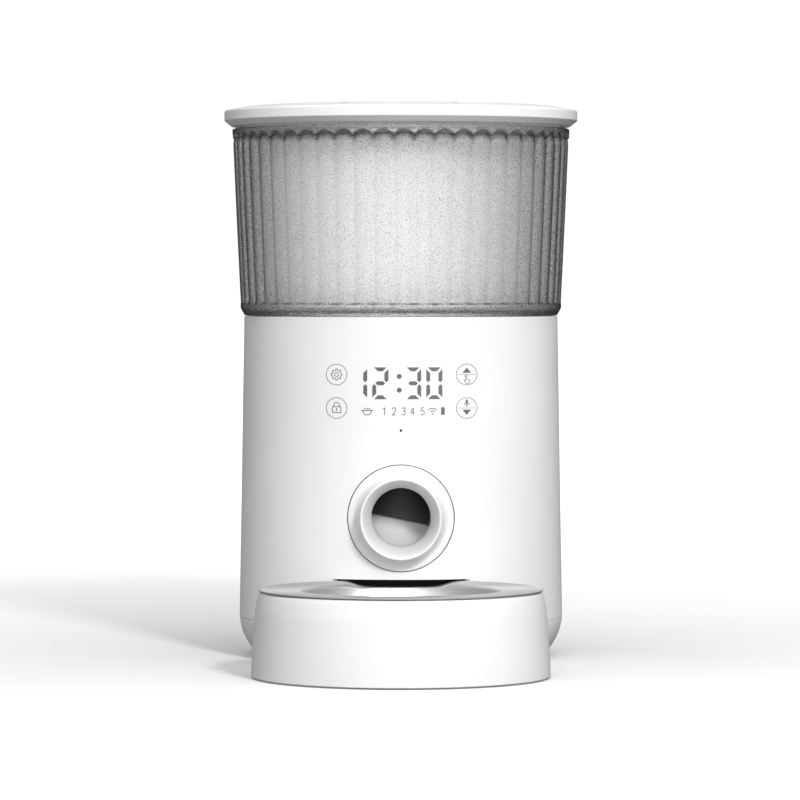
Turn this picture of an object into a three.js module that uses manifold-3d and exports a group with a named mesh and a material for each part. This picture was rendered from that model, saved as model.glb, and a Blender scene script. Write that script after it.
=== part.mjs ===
// Automatic dry-food feeder: a round body with a reeded bin and a twist lid on top, a rotor that meters
// the food into a chute, and a steel bowl in a stand that plugs into the front of the body.
// Millimetres, +Z up, front towards -Y.

import * as THREE from "three";
import { mergeVertices } from "three/addons/utils/BufferGeometryUtils.js";
import Module from "manifold-3d";

const wasm = await Module();
wasm.setup();

// ---------- Driving dimensions ----------

const GAP = 0.3; // between pieces that touch
const WALL = 2.4; // moulded walls
const FOOT_HEIGHT = 0.8; // rubber feet stand this proud of the base

const BODY_FOOT_RADIUS = 90; // at the seam between shell and base
const BODY_TOP_RADIUS = 87.3;
const SEAM_Z = 22;
const SHELL_TOP_Z = 189.1;
const BASE_CURVE_RADIUS = 31.3; // outline of the base's rounded foot
const BASE_CURVE_Z = 24;

const BIN_BOTTOM_Z = SHELL_TOP_Z + GAP;
const BIN_TOP_Z = 294;
const BIN_FOOT_RADIUS = 89.3;
const BIN_RIM_RADIUS = 93.9;
const BIN_SPIGOT_RADIUS = 77.2;
const REEDS = 52;
const REED_DEPTH = 1;
const REED_FOOT_Z = 195.5;
const REED_HEAD_Z = 289.5;
const REED_TURN = 1; // degrees between the front and the first reed's crest

const LID_BOTTOM_Z = BIN_TOP_Z + 0.4;
const LID_RADIUS = 98.3;
const LID_TOP_Z = 306;
const PLUG_RADIUS = 88.3;
const PLUG_TOP_Z = 300;

const CHAMBER_RADIUS = 58; // inside the rotor chamber
const CHAMBER_BOTTOM_Z = 118;
const CHAMBER_FLOOR = 2.5;
const CHAMBER_TOP_Z = 149.7;
const CHAMBER_FLANGE_RADIUS = 67;
const ROTOR_BOTTOM_Z = 122;
const ROTOR_TOP_Z = 146;
const ROTOR_RADIUS = 56.8;
const ROTOR_VANES = 6;
const HUB_RADIUS = 14;
const SHAFT_RADIUS = 4;

const GEAR_MODULE = 1.25;
const OUTPUT_TEETH = 28;
const IDLER_TEETH = 20;
const PINION_TEETH = 12;
const GEAR_BOTTOM_Z = 99;
const GEAR_THICKNESS = 12;
const IDLER_Y = ((OUTPUT_TEETH + IDLER_TEETH) * GEAR_MODULE) / 2;
const MOTOR_Y = IDLER_Y + ((IDLER_TEETH + PINION_TEETH) * GEAR_MODULE) / 2;
const GEARBOX_RADIUS = 21.2;
const GEARBOX_BOTTOM_Z = 93;
const GEARBOX_TOP_Z = 115;

const CHUTE_RADIUS = 16; // bore of the chute
const CHUTE_WALL = 2;
const DROP_Y = -41; // axis of the chute where it leaves the chamber
const OUTLET_Z = 80.5;
const BEZEL_RADIUS = 28.6;
const NOZZLE_LIP_RADIUS = 22.1;
const NOZZLE_REACH = 100.5; // lip of the nozzle, from the body's axis

const BOWL_REACH = 150; // from the body's axis to the bowl's
const RECESS_TOP_Z = 47.4;
const RECESS_TOP_RADIUS = 78.1; // about the bowl's axis
const RECESS_FOOT_RADIUS = 80.85;
const TRAY_RIM_Z = 45.3;
const TRAY_FOOT_RADIUS = 78.9;
const BOWL_RADIUS = 75;
const BASIN_RADIUS = 52.8;
const NOTCH_DEPTH = 2.6; // dip in the rims of bowl and tray, below the outlet
const NOTCH_FLAT = 19.5; // half width of the notch's floor
const NOTCH_EDGE = 30.3; // half width where the notch starts

const CELL_RADIUS = 17; // D cell
const CELL_LENGTH = 59.5;
const CELL_PITCH = 35.2;
const CELL_Z = 21.4;
const BATTERY_HALF_WIDTH = 53; // opening under the cells
const BATTERY_FRONT_Y = -28;
const BATTERY_BACK_Y = 38.5;

const BOARD_THICKNESS = 1.6;
const DISPLAY_Y = -73; // front face of the display board
const KEY_X = 35;
const KEY_HIGH_Z = 158;
const KEY_LOW_Z = 139.9;
const MIC_Z = 127.9;
const JACK_Z = 32;

const ROUND = 36; // facets of a large circle
const SMALL = 16; // facets of a small one

const FRONT_Y = -(BOWL_REACH + TRAY_FOOT_RADIUS);
const BODY_Y = -(LID_RADIUS + FRONT_Y) / 2; // puts the origin under the middle of the outline

// ---------- Materials ----------

const finish = (color, roughness, metalness = 0) =>
  new THREE.MeshStandardMaterial({ color, roughness, metalness });

const white = finish(0xf4f4f3, 0.35);
const smoke = new THREE.MeshStandardMaterial({
  color: 0x8d9092,
  roughness: 0.35,
  transparent: true,
  opacity: 0.6,
});
const lightGrey = finish(0xc9cccd, 0.5);
const darkGrey = finish(0x3c3f42, 0.55);
const black = finish(0x151617, 0.6);
const rubber = finish(0x202122, 0.85);
const silicone = finish(0xdfe2e3, 0.6);
const steel = finish(0xc8cacb, 0.3, 1);
const brass = finish(0xb99a57, 0.35, 1);
const nylon = finish(0xe9e6dc, 0.5);
const circuitGreen = finish(0x1d6b43, 0.5);
const cellWrap = finish(0x2f5f8f, 0.4);
const paper = finish(0xe8e4da, 0.9);

// ---------- Shape helpers ----------

const quarter = Math.PI / 2;

/** Points on a circle's arc, centre (r, z), angles in degrees. */
function arc(r, z, radius, from, to, steps) {
  return Array.from({ length: steps + 1 }, (_, i) => {
    const angle = THREE.MathUtils.degToRad(from + ((to - from) * i) / steps);
    return [r + radius * Math.cos(angle), z + radius * Math.sin(angle)];
  });
}

/** A profile of [radius, height] points, turned about Z; it starts and ends on the axis. */
function turned(profile, segments = ROUND) {
  const points = profile.map(([r, z]) => new THREE.Vector2(r, z));
  return new THREE.LatheGeometry(points, segments).rotateX(Math.PI / 2);
}

/** The same for a profile that closes on itself, which makes a ring. */
function ring(profile, segments = ROUND) {
  return turned([...profile, profile[0]], segments);
}

/** A plain disc or rod about Z. */
function rod(radius, bottom, top, segments = SMALL) {
  return turned([[0, bottom], [radius, bottom], [radius, top], [0, top]], segments);
}

/** A plain tube about Z. */
function tube(inner, outer, bottom, top, segments = SMALL) {
  return ring([[inner, bottom], [outer, bottom], [outer, top], [inner, top]], segments);
}

/** A box between two corners. */
function block([x0, y0, z0], [x1, y1, z1]) {
  return new THREE.BoxGeometry(x1 - x0, y1 - y0, z1 - z0).translate(
    (x0 + x1) / 2,
    (y0 + y1) / 2,
    (z0 + z1) / 2,
  );
}

/** An outline pushed up from one height to another. */
function slab(shape, bottom, top, curveSegments = SMALL) {
  const depth = top - bottom;
  const geometry = new THREE.ExtrudeGeometry(shape, { depth, bevelEnabled: false, curveSegments });
  return geometry.translate(0, 0, bottom);
}

/** A three.js geometry as a manifold-3d solid. */
function solidOf(geometry) {
  const bare = geometry.clone();
  bare.deleteAttribute("normal");
  bare.deleteAttribute("uv");
  const merged = mergeVertices(bare, 1e-4);
  return new wasm.Manifold(
    new wasm.Mesh({
      numProp: 3,
      vertProperties: Float32Array.from(merged.attributes.position.array),
      triVerts: Uint32Array.from(merged.index.array),
    }),
  );
}

/** A manifold-3d solid as a three.js geometry. */
function geometryOf(solid) {
  const mesh = solid.getMesh();
  const geometry = new THREE.BufferGeometry();
  geometry.setAttribute("position", new THREE.BufferAttribute(mesh.vertProperties, 3));
  geometry.setIndex(new THREE.BufferAttribute(mesh.triVerts, 1));
  geometry.computeVertexNormals();
  return geometry;
}

const join = (first, ...others) =>
  geometryOf(others.reduce((whole, other) => whole.add(solidOf(other)), solidOf(first)));

const cut = (first, ...tools) =>
  geometryOf(tools.reduce((whole, tool) => whole.subtract(solidOf(tool)), solidOf(first)));

const common = (first, second) => geometryOf(solidOf(first).intersect(solidOf(second)));

/** A named piece, placed in its group. */
function piece(name, geometry, material, [x, y, z] = [0, 0, 0]) {
  const mesh = new THREE.Mesh(geometry, material);
  mesh.name = name;
  mesh.position.set(x, y, z);
  return mesh;
}

/** Turns a shape made about Z so that it points forwards, its height measured towards -Y. */
const forward = (geometry) => geometry.rotateX(Math.PI / 2);

const smooth = (low, high, x) => THREE.MathUtils.smoothstep(x, low, high);

// ---------- Body shells ----------

const BATTERY_OPENING = [
  [-BATTERY_HALF_WIDTH, BATTERY_FRONT_Y, -1],
  [BATTERY_HALF_WIDTH, BATTERY_BACK_Y, 5],
];
const POST_RADIUS = 72;
const POST_ANGLES = [45, 135, 225, 315];
const POST_FOOT_Z = 5;
const POST_TOP_Z = 44;
const FOOT_PLACES = [[-66, -28], [66, -28], [-38, 60], [38, 60]];
const SPEAKER_Y = 62;

/** The space that the bowl stand goes into, as a solid cone about the bowl's axis. */
function recess(spare) {
  const profile = [
    [0, -1],
    [RECESS_FOOT_RADIUS + spare, -1],
    [RECESS_TOP_RADIUS + spare, RECESS_TOP_Z + spare],
    [0, RECESS_TOP_Z + spare],
  ];
  return turned(profile).translate(0, -BOWL_REACH, 0);
}

/** The wall of the outer shell before anything is cut out of it. */
function shellWall() {
  const top = BODY_TOP_RADIUS - WALL;
  const ledge = 82.3; // carries the funnel's flange
  return ring([
    [BODY_FOOT_RADIUS - WALL, SEAM_Z + GAP],
    [BODY_FOOT_RADIUS, SEAM_Z + GAP],
    [BODY_TOP_RADIUS, SHELL_TOP_Z],
    [top, SHELL_TOP_Z],
    [top, 186.4],
    [ledge, 186.4],
    [ledge, 184.6],
    [top, 182],
  ]);
}

/** A screw post with the rib that ties it to the shell's wall. */
function screwPost(angle) {
  const post = rod(4, POST_FOOT_Z, POST_TOP_Z, 12).translate(POST_RADIUS, 0, 0);
  const rib = block([POST_RADIUS, -1.2, 27], [88.4, 1.2, POST_TOP_Z]);
  const hole = rod(1.5, 0, 32, 8).translate(POST_RADIUS, 0, 0);
  return cut(join(post, rib), hole).rotateZ(THREE.MathUtils.degToRad(angle));
}

function outerShell() {
  const outletHole = forward(rod(BEZEL_RADIUS + GAP, 70, 110, 32)).translate(0, 0, OUTLET_Z);
  const micHole = forward(rod(0.7, 80, 100, 8)).translate(0, 0, MIC_Z);
  const jackHole = forward(rod(4.4, -100, -80, SMALL)).translate(0, 0, JACK_Z);
  const walls = join(shellWall(), ...POST_ANGLES.map(screwPost));
  return cut(walls, recess(0), outletHole, micHole, jackHole);
}

/** The round foot of the body, with the lip that centres the outer shell on it. */
function baseShell() {
  const centre = BODY_FOOT_RADIUS - BASE_CURVE_RADIUS;
  const outside = arc(centre, BASE_CURVE_Z, BASE_CURVE_RADIUS, -47.8, -4.2, 5);
  const inside = arc(centre, BASE_CURVE_Z, BASE_CURVE_RADIUS - WALL, -22.4, -45.8, 2);
  const lip = [[87.2, SEAM_Z - GAP], [87.2, 25.7], [85.4, 25.7]];
  const bottom = outside[0][1];
  const shell = turned([[0, bottom], ...outside, ...lip, ...inside, [0, inside.at(-1)[1]]]);
  const screwHoles = POST_ANGLES.map((angle) =>
    join(rod(1.7, -1, 5, 8), rod(3.5, -1, 2.2, 12))
      .translate(POST_RADIUS, 0, 0)
      .rotateZ(THREE.MathUtils.degToRad(angle)),
  );
  const footSeats = FOOT_PLACES.map(([x, y]) => rod(6.3, -1, 1.8).translate(x, y, 0));
  const soundSlots = [-8, -4, 0, 4, 8].map((x) =>
    block([x - 0.9, SPEAKER_Y - 8, -1], [x + 0.9, SPEAKER_Y + 8, 5]),
  );
  return cut(shell, recess(0), block(...BATTERY_OPENING), ...screwHoles, ...footSeats, ...soundSlots);
}

/** The liner that closes the recess off from the inside of the body. */
function bowlDock() {
  const room = turned([
    [0, 3.6],
    [78.4, 3.6],
    [84.9, 14.5],
    [84.9, 26],
    [86.8, 26],
    [86.8, RECESS_TOP_Z + 2],
    [0, RECESS_TOP_Z + 2],
  ]);
  return cut(common(recess(2), room), recess(0));
}

const baseScrew = () =>
  turned([[0, 1.2], [3, 1.2], [3, 1.9], [1.2, 1.9], [1.2, 28], [0, 28]], 12);

const foot = () => turned([[0, 0], [5.2, 0], [5.9, 0.7], [5.9, 1.5], [0, 1.5]], SMALL);

// ---------- Lid ----------

function lidCover() {
  return turned([
    [0, 303.4],
    [2.3, 303.4],
    [2.3, PLUG_TOP_Z + 0.4],
    [6, PLUG_TOP_Z + 0.4],
    [6, 303.2],
    [88.6, 302.2],
    [90.9, 300.9],
    [90.9, LID_BOTTOM_Z],
    [94.3, LID_BOTTOM_Z],
    [LID_RADIUS, LID_BOTTOM_Z + 3.2],
    [LID_RADIUS, 301.8],
    ...arc(LID_RADIUS - 1.6, 301.8, 1.6, 30, 90, 2),
    [93.2, 303.9],
    [86, 305.3],
    [0, LID_TOP_Z],
  ]);
}

/** The inner lid: a disc with a skirt, a groove for the seal and a pocket for the desiccant. */
function lidPlug() {
  const under = PLUG_TOP_Z - WALL;
  return ring([
    [2.4, under],
    [28, under],
    [28, 283.4],
    [30, 283.4],
    [30, under],
    [84.8, under],
    [85, 284],
    [87.2, 284],
    [PLUG_RADIUS, 287.6],
    [86.8, 287.6],
    [86.8, 291.4],
    [PLUG_RADIUS, 291.4],
    [PLUG_RADIUS, 295.6],
    [90.5, 295.6],
    [90.5, PLUG_TOP_Z],
    [2.4, PLUG_TOP_Z],
  ]);
}

const lidSealRing = () =>
  ring([[87.1, 288], [89.4, 288], [90.5, 289.5], [89.4, 291], [87.1, 291]]);

const lidPivotScrew = () =>
  turned([[0, 294.9], [4.5, 294.9], [4.5, 297.3], [2, 297.3], [2, 303], [0, 303]], 12);

function desiccantCover() {
  const disc = join(rod(32, 280.6, 283.1, 24), tube(25.4, 27.6, 282, 284.8, 24));
  const vents = Array.from({ length: 6 }, (_, i) =>
    rod(2.5, 280, 284, 6).translate(15, 0, 0).rotateZ((i * Math.PI) / 3),
  );
  return cut(disc, ...vents);
}

const desiccantBag = () =>
  turned([[0, 285.3], [21, 285.8], [24.6, 289], [21, 292.3], [0, 292.8]], SMALL);

// ---------- Food bin ----------

/** The reeded bin: a tapered wall whose outside has a crest at every second facet. */
function foodBin() {
  const facets = REEDS * 2;
  const geometry = ring(
    [
      [BIN_SPIGOT_RADIUS - WALL, 184.3],
      [BIN_SPIGOT_RADIUS, 184.3],
      [BIN_SPIGOT_RADIUS, BIN_BOTTOM_Z],
      [86.9, BIN_BOTTOM_Z],
      [BIN_FOOT_RADIUS, 193.5],
      [BIN_FOOT_RADIUS + 0.1, REED_FOOT_Z],
      [BIN_RIM_RADIUS - 0.15, REED_HEAD_Z],
      [BIN_RIM_RADIUS, 291],
      [BIN_RIM_RADIUS, 293.2],
      [BIN_RIM_RADIUS - 0.8, BIN_TOP_Z],
      [BIN_RIM_RADIUS - 2.6, BIN_TOP_Z],
      [86.4, 192],
      [BIN_SPIGOT_RADIUS - WALL, 192],
    ],
    facets,
  );
  const place = geometry.attributes.position;
  for (let i = 0; i < place.count; i++) {
    const [x, y, z] = [place.getX(i), place.getY(i), place.getZ(i)];
    const radius = Math.hypot(x, y);
    const turn = Math.round((Math.atan2(x, -y) / (2 * Math.PI)) * facets);
    const onReeds = z > REED_FOOT_Z - 0.1 && z < REED_HEAD_Z + 0.1 && radius > 88;
    if (!onReeds || turn % 2 === 0) continue;
    const share = (radius - REED_DEPTH) / radius;
    place.setXY(i, x * share, y * share);
  }
  return geometry.rotateZ(THREE.MathUtils.degToRad(REED_TURN));
}

/** The ring between the bin's spigot and the funnel's collar. */
const binSealRing = () => tube(BIN_SPIGOT_RADIUS + 0.5, 79.2, 185, 188, ROUND);

// ---------- Metering ----------

function hopperFunnel() {
  const bottom = CHAMBER_TOP_Z + GAP;
  return ring([
    [CHAMBER_RADIUS, bottom],
    [CHAMBER_FLANGE_RADIUS, bottom],
    [CHAMBER_FLANGE_RADIUS, bottom + WALL],
    [60.6, bottom + WALL],
    [60.6, 155],
    [81.9, 184],
    [81.9, 186.7],
    [84.5, 186.7],
    [84.5, SHELL_TOP_Z],
    [79.5, SHELL_TOP_Z],
    [79.5, 184],
    [58.2, 154],
  ]);
}

function rotorChamber() {
  const outside = CHAMBER_RADIUS + WALL;
  const floor = CHAMBER_BOTTOM_Z + CHAMBER_FLOOR;
  const cup = ring([
    [7.3, CHAMBER_BOTTOM_Z],
    [outside, CHAMBER_BOTTOM_Z],
    [outside, CHAMBER_TOP_Z - WALL],
    [CHAMBER_FLANGE_RADIUS, CHAMBER_TOP_Z - WALL],
    [CHAMBER_FLANGE_RADIUS, CHAMBER_TOP_Z],
    [CHAMBER_RADIUS, CHAMBER_TOP_Z],
    [CHAMBER_RADIUS, floor],
    [7.3, floor],
  ]);
  const dropHole = rod(CHUTE_RADIUS, CHAMBER_BOTTOM_Z - 1, floor + 1, 24).translate(0, DROP_Y, 0);
  return cut(cup, dropHole);
}

/** The plate over the drop hole, so that food reaches the hole only inside a rotor pocket. */
function portionShield() {
  const half = THREE.MathUtils.degToRad(38);
  const front = -Math.PI / 2;
  const outline = new THREE.Shape()
    .absarc(0, 0, CHAMBER_RADIUS - GAP, front - half, front + half, false)
    .absarc(0, 0, HUB_RADIUS + 3, front + half, front - half, true);
  return slab(outline, ROTOR_TOP_Z + 0.8, ROTOR_TOP_Z + 2.6, 10);
}

function rotor() {
  const hub = rod(HUB_RADIUS, ROTOR_BOTTOM_Z, ROTOR_TOP_Z, 24);
  const vane = block([0, -1.2, ROTOR_BOTTOM_Z], [ROTOR_RADIUS, 1.2, ROTOR_TOP_Z]);
  const vanes = Array.from({ length: ROTOR_VANES }, (_, i) =>
    vane.clone().rotateZ((i * 2 * Math.PI) / ROTOR_VANES),
  );
  const bore = rod(SHAFT_RADIUS + GAP, ROTOR_BOTTOM_Z - 1, ROTOR_TOP_Z + 1);
  return cut(join(hub, ...vanes), bore);
}

/** The arm on top of the rotor, whose two fingers keep the food moving. */
function stirrer() {
  const collar = rod(HUB_RADIUS, ROTOR_TOP_Z + GAP, 153, 24);
  const arm = block([-44, -4, 150], [44, 4, 153]);
  const finger = rod(3, 151, 170, 12);
  const fingers = [-40, 40].map((x) => finger.clone().translate(x, 0, 0));
  const bore = rod(SHAFT_RADIUS + GAP, ROTOR_TOP_Z, 150.6);
  return cut(join(collar, arm, ...fingers), bore);
}

const rotorShaft = () => rod(SHAFT_RADIUS, GEARBOX_BOTTOM_Z + WALL + GAP, 150.2);

const shaftBush = () =>
  ring(
    [[4.3, 118.05], [7, 118.05], [7, 120.8], [9, 120.8], [9, 121.6], [4.3, 121.6]],
    SMALL,
  );

// ---------- Drive ----------

/** A spur gear about Z with one tooth on the +X axis. */
function gear(teeth, bore) {
  const pitchRadius = (teeth * GEAR_MODULE) / 2;
  const toothAngle = (2 * Math.PI) / teeth;
  const flank = [
    { radius: pitchRadius - 1.25 * GEAR_MODULE, share: 0.3 },
    { radius: pitchRadius + 0.9 * GEAR_MODULE, share: 0.1 },
  ];
  const at = (radius, angle) =>
    new THREE.Vector2(radius * Math.cos(angle), radius * Math.sin(angle));
  const points = [];
  for (let tooth = 0; tooth < teeth; tooth++) {
    const middle = tooth * toothAngle;
    flank.forEach(({ radius, share }) => points.push(at(radius, middle - share * toothAngle)));
    flank.toReversed().forEach(({ radius, share }) =>
      points.push(at(radius, middle + share * toothAngle)),
    );
  }
  const outline = new THREE.Shape(points);
  if (bore > 0) outline.holes.push(new THREE.Path().absarc(0, 0, bore, 0, 2 * Math.PI, true));
  return slab(outline, 0, GEAR_THICKNESS, 10);
}

const halfTooth = (teeth) => Math.PI / teeth;

/** A rounded outline around the gear train, from the output gear to the motor. */
function gearTrainOutline(radius) {
  return new THREE.Shape()
    .absarc(0, 0, radius, Math.PI, 2 * Math.PI, false)
    .absarc(0, MOTOR_Y, radius, 0, Math.PI, false);
}

function gearboxHousing() {
  const outside = slab(gearTrainOutline(GEARBOX_RADIUS), GEARBOX_BOTTOM_Z, GEARBOX_TOP_Z, 12);
  const cavity = slab(gearTrainOutline(GEARBOX_RADIUS - 1.8), GEARBOX_BOTTOM_Z + WALL, 120, 12);
  const shaftHole = rod(1.9, 90, 96, 10).translate(0, MOTOR_Y, 0);
  return cut(outside, cavity, shaftHole);
}

function gearboxCover() {
  const plate = slab(gearTrainOutline(GEARBOX_RADIUS), GEARBOX_TOP_Z + GAP, 117.7, 12);
  return cut(plate, rod(SHAFT_RADIUS + 0.4, 110, 120));
}

const idlerPin = () => rod(2, GEARBOX_BOTTOM_Z + WALL + GAP, GEARBOX_TOP_Z, 12);

/** The pinion on the motor's own shaft. */
function motorPinion() {
  const shaft = rod(1.5, -6.2, 1, 10);
  return join(gear(PINION_TEETH, 0), shaft);
}

/** The motor can with its end bell. */
function driveMotor() {
  return turned(
    [[0, 60], [4, 60], [4, 62], [11, 62], [12, 63], [12, 91], [11.2, 92.6], [0, 92.6]],
    SMALL,
  );
}

// ---------- Chute and outlet ----------

/** The bent tube from the drop hole to the outlet. */
function chute() {
  const start = CHAMBER_BOTTOM_Z - GAP;
  const bend = start - OUTLET_Z;
  const outline = new THREE.Shape()
    .absarc(0, 0, CHUTE_RADIUS + CHUTE_WALL, 0, 2 * Math.PI, false);
  outline.holes.push(new THREE.Path().absarc(0, 0, CHUTE_RADIUS, 0, 2 * Math.PI, true));
  const kappa = (4 / 3) * (Math.SQRT2 - 1) * bend; // cubic handle of a quarter circle
  const route = new THREE.CubicBezierCurve3(
    new THREE.Vector3(0, DROP_Y, start),
    new THREE.Vector3(0, DROP_Y, start - kappa),
    new THREE.Vector3(0, DROP_Y - bend + kappa, OUTLET_Z),
    new THREE.Vector3(0, DROP_Y - bend, OUTLET_Z),
  );
  return new THREE.ExtrudeGeometry(outline, {
    steps: 7,
    curveSegments: 10,
    extrudePath: route,
  });
}

/** The disc that fills the hole in the shell, and the nozzle that stands out of it. */
function outletBezel() {
  const backReach = -DROP_Y + CHAMBER_BOTTOM_Z - OUTLET_Z; // just clear of the chute's end
  const seat = 84.2;
  const fillet = Array.from({ length: 5 }, (_, i) => {
    const angle = (i * quarter) / 4;
    return [27.2 - 4.6 * Math.sin(angle), seat + 7.8 * (1 - Math.cos(angle))];
  });
  const nozzle = ring(
    [
      [CHUTE_RADIUS, backReach],
      [CHUTE_RADIUS + CHUTE_WALL, backReach],
      [CHUTE_RADIUS + CHUTE_WALL, seat],
      ...fillet,
      [NOZZLE_LIP_RADIUS, NOZZLE_REACH - 0.6],
      [NOZZLE_LIP_RADIUS - 0.5, NOZZLE_REACH],
      [NOZZLE_LIP_RADIUS - 1.1, NOZZLE_REACH - 0.4],
      [CHUTE_RADIUS + 0.4, 84],
    ],
    32,
  );
  const disc = common(shellWall(), forward(rod(BEZEL_RADIUS, 70, 110, 32)).translate(0, 0, OUTLET_Z));
  const opening = forward(rod(CHUTE_RADIUS + 3, 70, 110, 32)).translate(0, 0, OUTLET_Z);
  return join(cut(disc, opening), forward(nozzle).translate(0, 0, OUTLET_Z));
}

const sensor = () => block([-1.6, -3, -3], [1.6, 3, 3]);

// ---------- Electronics ----------

function displayBoard() {
  return block([-42, 0, 124], [42, BOARD_THICKNESS, 165]);
}

const displayBlock = () => block([-27, -7.3, 134], [27, -GAP, 164]);

const touchPad = () => forward(rod(4, GAP, 2.4, 16));

const microphone = () => forward(rod(3, GAP, 12, 12));

function mainBoard() {
  return block([0, -28, 46], [BOARD_THICKNESS, 30, 104]);
}

const wifiModule = () => block([-3.4, -10, -8], [-GAP, 10, 8]);

function boardBracket() {
  const back = block([0, -30, 41.5], [2, 32, 106]);
  const shelf = block([-16, -30, 41.5], [1, 32, 43.5]);
  return join(back, shelf);
}

/** A round loudspeaker that faces down over the slots in the base. */
function speaker() {
  return turned(
    [[0, 6], [9, 3.7], [14, 3.7], [14, 6], [8.5, 9.5], [8.5, 14], [0, 14]],
    SMALL,
  );
}

/** The low-voltage inlet: a moulded block with a round socket that opens to the rear. */
function powerJack() {
  const body = block([-5, 74, JACK_Z - 5], [5, 85, JACK_Z + 5]);
  const nose = forward(rod(4, -88.6, -84)).translate(0, 0, JACK_Z);
  const socket = forward(rod(3.2, -90, -78, 16)).translate(0, 0, JACK_Z);
  return cut(join(body, nose), socket);
}

// ---------- Batteries ----------

function batteryBox() {
  const wall = 2.2;
  const outside = block(
    [-BATTERY_HALF_WIDTH - wall, BATTERY_FRONT_Y - wall, 3.6],
    [BATTERY_HALF_WIDTH + wall, BATTERY_BACK_Y + wall, 41.2],
  );
  const inside = block(
    [-BATTERY_HALF_WIDTH, BATTERY_FRONT_Y, 3],
    [BATTERY_HALF_WIDTH, BATTERY_BACK_Y, 39],
  );
  return cut(outside, inside);
}

function batteryDoor() {
  const plate = block(
    [-BATTERY_HALF_WIDTH + GAP, BATTERY_FRONT_Y + GAP, FOOT_HEIGHT],
    [BATTERY_HALF_WIDTH - GAP, BATTERY_BACK_Y - GAP, 3.2],
  );
  const fingerGrip = rod(9, -1, 1.8, 16).translate(0, BATTERY_BACK_Y - 9, 0);
  return cut(plate, fingerGrip);
}

/** A D cell about Z, its raised contact at the top. */
function batteryCell() {
  const profile = [
    [0, 0],
    [CELL_RADIUS - 1, 0],
    [CELL_RADIUS, 1],
    [CELL_RADIUS, CELL_LENGTH - 1],
    [CELL_RADIUS - 1, CELL_LENGTH],
    [4.7, CELL_LENGTH],
    [4.7, CELL_LENGTH + 1.5],
    [0, CELL_LENGTH + 1.5],
  ];
  return turned(profile, SMALL).rotateX(-quarter);
}

/** The strip behind the cells' flat ends, with a raised seat for each cell. */
function batteryContacts() {
  const strip = block([-48, 0, -9], [48, 0.6, 9]);
  const seats = [-CELL_PITCH, 0, CELL_PITCH].map((x) =>
    turned([[0, 0.2], [6, 0.2], [3.5, 3.2], [0, 3.2]], 12)
      .rotateX(-quarter)
      .translate(x, 0, 0),
  );
  return join(strip, ...seats);
}

// ---------- Bowl ----------

/** Lowers the back of a turned rim into the notch below the outlet, fully beyond outerRadius. */
function notchRim(geometry, innerRadius, outerRadius, lowestZ) {
  const place = geometry.attributes.position;
  for (let i = 0; i < place.count; i++) {
    const [x, y, z] = [place.getX(i), place.getY(i), place.getZ(i)];
    if (y < 0 || z < lowestZ) continue;
    const along = 1 - smooth(NOTCH_FLAT, NOTCH_EDGE, Math.abs(x));
    const across = smooth(innerRadius, outerRadius, Math.hypot(x, y));
    place.setZ(i, z - NOTCH_DEPTH * along * across);
  }
  return geometry;
}

/** The stand: a round tub whose rim carries the bowl's flange. */
function bowlTray() {
  const floor = FOOT_HEIGHT + 2;
  const profile = [
    [0, FOOT_HEIGHT],
    [TRAY_FOOT_RADIUS, FOOT_HEIGHT],
    [78.5, 10.3],
    [77.9, 19.8],
    [76.8, 35.6],
    [75.6, 41.8],
    ...arc(73.4, TRAY_RIM_Z - 1.6, 1.6, 10, 90, 3),
    [72.6, TRAY_RIM_Z],
    [72.2, 41],
    [74.5, 35.6],
    [75.6, 19.8],
    [76.2, floor],
    [0, floor],
  ];
  return notchRim(turned(profile), 60, 68, 41.5);
}

const trayFoot = () => turned([[0, 0], [4.4, 0], [5, 0.5], [0, 0.5]], 16);

/** The pressed bowl: a wide flange and a round basin, one sheet thick. */
function steelBowl() {
  const sheet = 0.9;
  const flange = TRAY_RIM_Z + GAP;
  const profile = [
    [0, 12],
    [34, 12],
    ...arc(34, 24, 12, -72, -24, 3),
    [BASIN_RADIUS + 0.4, 42.4],
    [56.4, flange - 0.5],
    [BOWL_RADIUS, flange],
    [BOWL_RADIUS, flange + sheet],
    [56, flange + sheet - 0.5],
    [BASIN_RADIUS - 0.6, 42.9],
    ...arc(34, 24, 12 - sheet, -24, -72, 3),
    [34, 12 + sheet],
    [0, 12 + sheet],
  ];
  return notchRim(turned(profile), 50, 56, 40);
}

// ---------- Assembly ----------

function lidAssembly() {
  const lid = new THREE.Group();
  lid.add(
    piece("lid_cover", lidCover(), white),
    piece("lid_pivot_screw", lidPivotScrew(), steel),
    piece("lid_plug", lidPlug(), darkGrey),
    piece("lid_seal_ring", lidSealRing(), silicone),
    piece("desiccant_cover", desiccantCover(), white),
    piece("desiccant_bag", desiccantBag(), paper),
  );
  return lid;
}

function binAssembly() {
  const bin = new THREE.Group();
  bin.add(
    piece("food_bin", foodBin(), smoke),
    piece("bin_seal_ring", binSealRing(), silicone),
  );
  return bin;
}

function meteringAssembly() {
  const metering = new THREE.Group();
  metering.add(
    piece("hopper_funnel", hopperFunnel(), lightGrey),
    piece("rotor_chamber", rotorChamber(), lightGrey),
    piece("portion_shield", portionShield(), lightGrey),
    piece("rotor", rotor(), darkGrey),
    piece("stirrer", stirrer(), darkGrey),
    piece("rotor_shaft", rotorShaft(), steel),
    piece("shaft_bush", shaftBush(), brass),
    piece("chute", chute(), lightGrey),
    piece("outlet_bezel", outletBezel(), white),
    piece("ir_emitter", sensor(), black, [-20.2, -55, 96]),
    piece("ir_receiver", sensor(), black, [20.2, -55, 96]),
  );
  return metering;
}

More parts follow.
